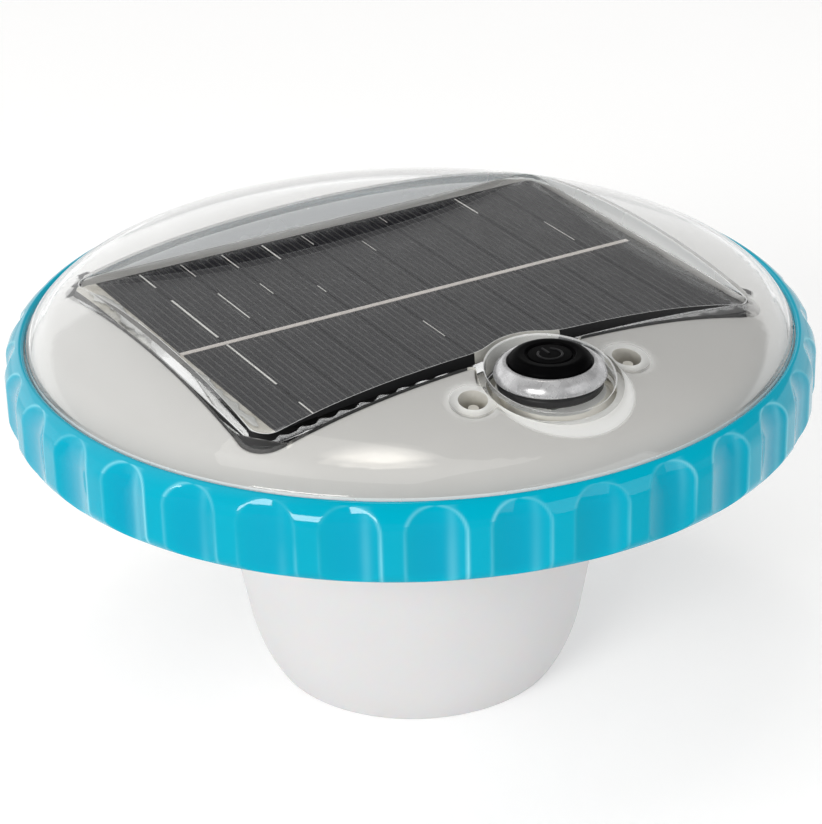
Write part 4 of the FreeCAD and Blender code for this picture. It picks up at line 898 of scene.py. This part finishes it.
def cloud(tree, spots):
    """1 inside round spots on faces that look down, fading to 0 at their edges. A spot is its
    centre, its core's radius and its edge's radius, in millimetres."""
    place = place_of(tree)
    total = 0.0
    for (x, y), core, edge in spots:
        aside = maths(tree, "POWER", maths(tree, "SUBTRACT", place["X"], x * MM), 2.0)
        beyond = maths(tree, "POWER", maths(tree, "SUBTRACT", place["Y"], y * MM), 2.0)
        apart = maths(tree, "SQRT", maths(tree, "ADD", aside, beyond))
        spot = map_range(tree, apart, edge * MM, core * MM, smooth=True)
        total = maths(tree, "MAXIMUM", spot, total)
    face = add_node(tree, "NewGeometry").outputs
    height = add_node(tree, "SeparateXYZ", Vector=face["True Normal"]).outputs["Z"]
    down = maths(tree, "LESS_THAN", height, -0.2)
    up = maths(tree, "MULTIPLY", maths(tree, "GREATER_THAN", height, 0.2), face["Backfacing"])
    return maths(tree, "MULTIPLY", total, maths(tree, "MAXIMUM", down, up))


def clear_material(name, tint, rough, transmission=1.0, spots=(), dark=None):
    """Clear plastic. Light for what lies under it passes straight through."""
    material, tree, inputs, surface = shader(name, Transmission_Weight=transmission, IOR=1.49)
    low = tuple(c * 0.985 for c in tint)
    tree.links.new(ramp(tree, noise(tree, 30.0), low, tint), inputs["Base Color"])
    gloss = spread(tree, noise(tree, 60.0), rough * 0.5, rough)
    tree.links.new(bump(tree, noise(tree, 90.0, 1.0), 3e-6, 0.5), inputs["Normal"])
    if spots:
        veil = cloud(tree, spots)
        clearness = maths(tree, "SUBTRACT", transmission, maths(tree, "MULTIPLY", veil, 0.55))
        tree.links.new(clearness, inputs["Transmission Weight"])
        gloss = maths(tree, "ADD", rough * 0.75, maths(tree, "MULTIPLY", veil, 0.5))
    tree.links.new(gloss, inputs["Roughness"])
    path = add_node(tree, "LightPath").outputs
    plastic = surface.links[0].from_socket
    if dark:
        # painted shade: with dark mirrored, a steep wall is painted dark where the window mirrors
        # it, a painted dark reflection; with dark within, it is painted dark where it is seen from
        # within the plastic
        shaded = add_node(tree, "NewGeometry").outputs["Backfacing"]
        if dark == "mirrored":
            outside = maths(tree, "SUBTRACT", 1.0, shaded)
            shaded = maths(tree, "MULTIPLY", path["Is Glossy Ray"], outside)
        shade = add_node(tree, "BsdfDiffuse", Color=(0.012, 0.012, 0.013, 1))
        plastic = mix_shaders(tree, shaded, plastic, shade.outputs["BSDF"])
    through = add_node(tree, "BsdfTransparent", Color=(*(c * 0.96 for c in tint), 1))
    passing = maths(tree, "MAXIMUM", path["Is Shadow Ray"], path["Is Diffuse Ray"])
    tree.links.new(mix_shaders(tree, passing, plastic, through.outputs["BSDF"]), surface)
    return material


def panel_board_material():
    """Black laminate with a bare pale strip on top at the panel's adhesive end."""
    material, tree, inputs, _ = shader("panel_laminate")

    def beyond(vector, direction, operation, limit):
        dot = add_node(tree, "VectorMath")
        dot.operation = "DOT_PRODUCT"
        dot.inputs[1].default_value = direction
        tree.links.new(vector, dot.inputs[0])
        return maths(tree, operation, dot.outputs["Value"], limit)

    place = add_node(tree, "TexCoord").outputs["Object"]
    facing = add_node(tree, "NewGeometry").outputs["Normal"]
    along = (math.cos(PANEL_TURN), math.sin(PANEL_TURN), 0.0)
    at_end = beyond(place, along, "LESS_THAN", CELLS_START * MM)
    on_top = beyond(facing, (0.0, 0.0, 1.0), "GREATER_THAN", 0.5)
    patches = noise(tree, 160.0)
    black = ramp(tree, patches, (0.012, 0.012, 0.012), (0.022, 0.021, 0.02))
    pale = ramp(tree, patches, (0.55, 0.52, 0.46), (0.72, 0.70, 0.66))
    bare = maths(tree, "MULTIPLY", at_end, on_top)
    tree.links.new(mix_colours(tree, bare, black, pale), inputs["Base Color"])
    tree.links.new(spread(tree, noise(tree, 300.0), 0.25, 0.4), inputs["Roughness"])
    tree.links.new(bump(tree, noise(tree, 1600.0, 2.0), 3e-6, 1.0, 0.0002), inputs["Normal"])
    return material


EARS = [to_world((side * POST_SPREAD, -BUTTON_REACH)) for side in (-1, 1)]
BOSS = to_world((0.0, -BUTTON_REACH - TUBE_LEAN))
CLEAR = clear_material(
    "clear_plastic", (0.985, 0.99, 0.985), 0.02,
    spots=((BOSS, TUBE_OUTER + 1.0, TUBE_OUTER + 2.2), *((ear, 2.4, 6.5) for ear in EARS)),
)
# near-white edge finish: a painted highlight on the rounded rims, and frosting on the flange and
# the far walls
CLEAR_EDGE = clear_material("clear_plastic_edge", (0.9, 0.91, 0.91), 0.4, transmission=0.45)
CLEAR_MILKY = clear_material("clear_plastic_milky", (0.74, 0.72, 0.67), 0.6, transmission=0.12)
CLEAR_HAZY_MIRRORED_DARK = clear_material(
    "clear_plastic_hazy_mirrored_dark", (0.93, 0.95, 0.97), 0.3, transmission=0.8, dark="mirrored"
)
CLEAR_SHADED = clear_material("clear_plastic_shaded", (0.97, 0.98, 0.98), 0.05, dark="within")
SILICONE = moulded(
    "clear_silicone", (0.75, 0.75, 0.74), 0.04, (0.08, 0.2), 1500.0, 3e-5, 700.0,
    Transmission_Weight=0.35, IOR=1.42,
)
# the ring's own blue, a darker blue painted as shade deep in the flutes, and a pale blue painted as
# highlight on their edges
RING_BLUE, RING_SHADE, RING_HIGHLIGHT = (0.0, 0.345, 0.48), (0.0, 0.3, 0.45), (0.28, 0.7, 0.8)
RING = moulded(
    "ring_plastic", RING_BLUE, 0.03, (0.05, 0.1), 1400.0, 1e-6, 30.0,
    layers=(("flute_shade", RING_SHADE, 0.6, 0.9), ("flute_highlight", RING_HIGHLIGHT, 0.08, 0.75)),
    Specular_IOR_Level=0.4,
)
BULB = moulded(
    "bulb_plastic", (0.64, 0.635, 0.64), 0.015, (0.42, 0.5), 2200.0, 4e-6, 25.0,
    Subsurface_Weight=0.25, Subsurface_Scale=0.003,
)
DECK = moulded(
    "deck_plastic", (0.565, 0.553, 0.545), 0.02, (0.28, 0.36), 1200.0, 4e-6, 30.0, edge=0.0005
)
PAN = moulded("pan_plastic", (0.74, 0.75, 0.75), 0.02, (0.3, 0.4), 1200.0, 3e-6, 30.0, edge=0.0004)
BOOT = moulded(
    "boot_rubber", (0.002, 0.002, 0.0022), 0.15, (0.3, 0.42), 2500.0, 6e-6, 300.0, IOR=1.055
)
SIGN = moulded(
    "sign_rubber", (0.012, 0.012, 0.013), 0.1, (0.35, 0.45), 2500.0, 5e-6, 300.0, IOR=1.2
)
SEAL = moulded("seal_rubber", (0.02, 0.02, 0.021), 0.1, (0.35, 0.5), 1800.0, 5e-6, 120.0)
CHROME = moulded(
    "bezel_metal", (0.53, 0.53, 0.54), 0.2, (0.22, 0.42), 420.0, 6e-5, 260.0, Metallic=0.45
)
ZINC = moulded("zinc_steel", (0.55, 0.55, 0.53), 0.08, (0.25, 0.4), 1500.0, 3e-6, 250.0,
    edge=0.0001, Metallic=1.0)
SPRING = moulded(
    "spring_steel", (0.5, 0.5, 0.5), 0.05, (0.2, 0.3), 2500.0, 2e-6, 400.0, Metallic=1.0,
)
TIN = moulded(
    "tinned_copper", (0.86, 0.8, 0.77), 0.08, (0.28, 0.4), 2500.0, 5e-6, 500.0, Metallic=0.3,
)
SOLDER = moulded("joint_solder", (0.8, 0.79, 0.77), 0.15, (0.3, 0.5), 2500.0, 8e-6, 700.0)
FINGER = moulded("printed_silver", (0.06, 0.06, 0.062), 0.1, (0.3, 0.4), 3000.0, 2e-6, 500.0)
LAMINATE = panel_board_material()
SILICON = moulded("silicon_cells", (0.022, 0.022, 0.026), 0.12, (0.12, 0.2), 2200.0, 1e-6, 60.0)
NYLON = moulded(
    "screw_nylon", (0.66, 0.64, 0.58), 0.04, (0.35, 0.5), 2000.0, 4e-6, 200.0, edge=0.0001,
)
CLAMP = moulded(
    "clamp_plastic", (0.6, 0.61, 0.62), 0.03, (0.4, 0.5), 1200.0, 5e-6, 40.0, edge=0.0003,
)
LAMP_BOARD = moulded(
    "lamp_board", (0.78, 0.78, 0.75), 0.03, (0.3, 0.4), 1400.0, 3e-6, 80.0, edge=0.0002,
)
LAMP = moulded("lamp_chips", (0.85, 0.70, 0.25), 0.05, (0.2, 0.3), 2000.0, 2e-6, 300.0, edge=0.0002)
SOCKET = moulded(
    "socket_nylon", (0.72, 0.69, 0.58), 0.04, (0.4, 0.5), 2000.0, 4e-6, 200.0, edge=0.0002,
)
SLEEVE = moulded(
    "battery_sleeve", (0.03, 0.22, 0.09), 0.08, (0.2, 0.3), 1500.0, 2e-6, 90.0, edge=0.0003,
)
HOLDER = moulded(
    "holder_plastic", (0.025, 0.025, 0.026), 0.1, (0.4, 0.5), 1500.0, 5e-6, 80.0, edge=0.0003,
)
CHIP = moulded(
    "chip_epoxy", (0.02, 0.02, 0.022), 0.1, (0.45, 0.6), 3000.0, 4e-6, 400.0, edge=0.0001,
)
CAN = moulded(
    "capacitor_can", (0.6, 0.6, 0.6), 0.05, (0.25, 0.35), 2500.0, 2e-6, 300.0, edge=0.0002,
    Metallic=1.0,
)
FERRITE = moulded(
    "ferrite", (0.06, 0.06, 0.062), 0.15, (0.6, 0.75), 2500.0, 1e-5, 300.0, edge=0.0003,
)
RED = moulded("lead_red", (0.42, 0.012, 0.012), 0.08, (0.3, 0.4), 2500.0, 3e-6, 200.0)
BLACK = moulded("lead_black", (0.015, 0.015, 0.016), 0.1, (0.3, 0.4), 2500.0, 3e-6, 200.0)

NODE_MATERIALS = {
    "dome_cover": CLEAR, "inner_deck": DECK, "float_pan": PAN, "lock_ring": RING,
    "diffuser_bulb": BULB, "bulb_clamp_ring": CLAMP, "rim_oring": SEAL, "bulb_oring": SEAL,
    "clamp_screws": ZINC, "deck_screws": NYLON, "solar_board": LAMINATE, "solar_cells": SILICON,
    "bus_ribbon": TIN, "panel_adhesive": SILICONE, "switch_housing": CHROME, "bezel_gasket": SEAL,
    "switch_core": CHIP, "button_plunger": HOLDER, "switch_nut": ZINC, "switch_terminals": TIN,
    "button_cap": BOOT, "light_board": LAMP_BOARD, "light_chips": LAMP, "lead_sockets": SOCKET,
    "battery_cells": SLEEVE, "battery_holder": HOLDER, "battery_lid": HOLDER,
    "battery_plates": SPRING, "charge_chip": CHIP, "driver_chip": CHIP, "power_inductor": FERRITE,
    "storage_capacitor": CAN, "board_screws": ZINC, "return_spring": SPRING,
    "battery_springs": SPRING, "positive_leads": RED, "negative_leads": BLACK,
}
for node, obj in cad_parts.items():
    obj.data.materials.clear()
    obj.data.materials.append(NODE_MATERIALS[node])

# the black holder plastic is the painted dark finish of the block's near wall
make_dome((CLEAR, CLEAR_EDGE, CLEAR_MILKY, CLEAR_HAZY_MIRRORED_DARK, CLEAR_SHADED, HOLDER))
make_grip_ring(RING)
make_bulb(BULB)
make_button(BOOT, SIGN, CHROME, SEAL)
make_cell_fingers(FINGER)
make_joint_solder(SOLDER)
make_edge_tape(HOLDER)
make_adhesive(SILICONE)
make_return_coil(SPRING)

# ---- studio

FLOOR_GLOW, FLOOR_HALF = 0.22, 4.0
CARD_START, CARD_FULL, CARD_SHARE = 0.0, -0.08, 0.85


def make_floor():
    bm = bmesh.new()
    bmesh.ops.create_grid(bm, x_segments=2, y_segments=2, size=FLOOR_HALF)
    mesh = bpy.data.meshes.new("floor")
    bm.to_mesh(mesh)
    bm.free()
    floor = bpy.data.objects.new("floor", mesh)
    bpy.context.scene.collection.objects.link(floor)
    material, tree, inputs, surface = shader(
        "floor_paper", Roughness=0.6, Emission_Color=(1, 1, 1, 1), Emission_Strength=FLOOR_GLOW
    )
    paper = ramp(tree, noise(tree, 3.0), (0.86, 0.86, 0.86), (0.88, 0.88, 0.88))
    tree.links.new(paper, inputs["Base Color"])
    # what stands in front is mirrored darker, as black card would make it
    front = map_range(tree, place_of(tree)["Y"], CARD_START, CARD_FULL, 0.0, CARD_SHARE)
    path = add_node(tree, "LightPath").outputs
    amount = maths(tree, "MULTIPLY", path["Is Glossy Ray"], front)
    card = add_node(tree, "BsdfDiffuse", Color=(0.02, 0.02, 0.02, 1)).outputs["BSDF"]
    tree.links.new(mix_shaders(tree, amount, surface.links[0].from_socket, card), surface)
    mesh.materials.append(material)


def area_light(name, place, size, power, colour=(1, 1, 1)):
    data = bpy.data.lights.new(name, "AREA")
    data.shape = "RECTANGLE"
    data.size, data.size_y = size
    data.energy = power
    data.color = colour
    light = bpy.data.objects.new(name, data)
    light.location = place
    away = Vector(place) - Vector((0, 0, 0.07))
    light.rotation_euler = away.to_track_quat("Z", "Y").to_euler()
    bpy.context.scene.collection.objects.link(light)
    return light


def make_camera():
    """The camera looks down at the ring's foot, slightly rolled."""
    elevation, roll = 0.4618, -0.0246
    distance, aside, lift = 0.5775, 0.00008, -0.00552
    look_at = Vector((0, 0, RING_BASE * MM))
    back = Vector((0, -math.cos(elevation), math.sin(elevation)))
    up = Vector((0, math.sin(elevation), math.cos(elevation)))
    right = Vector((1, 0, 0))
    across = math.cos(roll) * right + math.sin(roll) * up
    upright = -math.sin(roll) * right + math.cos(roll) * up
    data = bpy.data.cameras.new("camera")
    data.sensor_width, data.lens = 36.0, 122.25
    camera = bpy.data.objects.new("camera", data)
    place = look_at + back * distance + across * aside + upright * lift
    turn = Matrix((across, upright, back)).transposed()
    camera.matrix_world = Matrix.Translation(place) @ turn.to_4x4()
    bpy.context.scene.collection.objects.link(camera)
    bpy.context.scene.camera = camera


# how bright the room is to shiny surfaces: the sine of the elevation, then the strength
HORIZON = ((0.0, 1.1), (0.335, 1.1), (0.37, 0.24), (0.5, 0.19), (0.62, 0.06), (1.0, 0.05))
WINDOW_GLOW = 0.8


def make_world():
    world = bpy.data.worlds.new("studio")
    bpy.context.scene.world = world
    world.use_nodes = True
    tree = world.node_tree
    direction = add_node(tree, "TexCoord").outputs["Generated"]
    towards = add_node(tree, "SeparateXYZ", Vector=direction).outputs
    behind = map_range(tree, towards["Y"], 0.25, 0.95, 0.62, 0.42, smooth=True)
    # what shiny surfaces mirror: a bright horizon under a darker ceiling, dark in front
    ceiling = add_node(tree, "ValToRGB", Fac=towards["Z"])
    elements = ceiling.color_ramp.elements
    while len(elements) < len(HORIZON):
        elements.new(0.5)
    for element, (position, strength) in zip(elements, HORIZON):
        element.position = position
        element.color = (strength, strength, strength, 1)
    facing = map_range(tree, towards["Y"], -0.3, 0.6, 0.12)
    room = maths(tree, "MULTIPLY", ceiling.outputs["Color"], facing)
    # a tall soft window on the left is mirrored too
    window = map_range(tree, towards["X"], -0.12, -0.4, 0.0, WINDOW_GLOW, smooth=True)
    mirrored = maths(tree, "MAXIMUM", room, maths(tree, "MULTIPLY", window, facing))
    path = add_node(tree, "LightPath").outputs
    choose = add_node(tree, "Mix", Factor=path["Is Glossy Ray"], A=behind, B=mirrored)
    # the window wall on the left side is the brightest
    left = map_range(tree, towards["X"], -1.0, 0.3, 1.45, 0.9)
    total = maths(tree, "MULTIPLY", choose.outputs["Result"], left)
    background = tree.nodes["Background"]
    tree.links.new(total, background.inputs["Strength"])
    background.inputs["Color"].default_value = (1, 1, 1, 1)


make_floor()
make_camera()
make_world()
area_light("key", (-0.52, -0.86, 0.50), (0.5, 0.32), 5.5, (1.0, 0.99, 0.97))
DISKS, DISK_SIZE, DISK_GROWTH, DISK_DROP, DISK_POWER = 14, 0.03, 0.018, 0.001, 1.37
for number in range(DISKS):
    # stacked disks, each a little wider: a round highlight that fades outwards
    size = DISK_SIZE + DISK_GROWTH * number
    place = (-0.075, 0.31, 1.15 - DISK_DROP * number)
    overhead = area_light(
        f"overhead_{number}", place, (size, size), DISK_POWER * size**2, (1.0, 0.95, 0.87)
    )
    overhead.data.shape = "DISK"
ceiling = area_light("ceiling", (-0.2, 0.1, 1.3), (0.9, 0.9), 3.0, (1.0, 0.98, 0.95))
ceiling.visible_glossy = False
area_light("fill", (0.75, -0.55, 0.45), (0.7, 0.7), 1.5)
bpy.context.scene.view_settings.view_transform = "Standard"
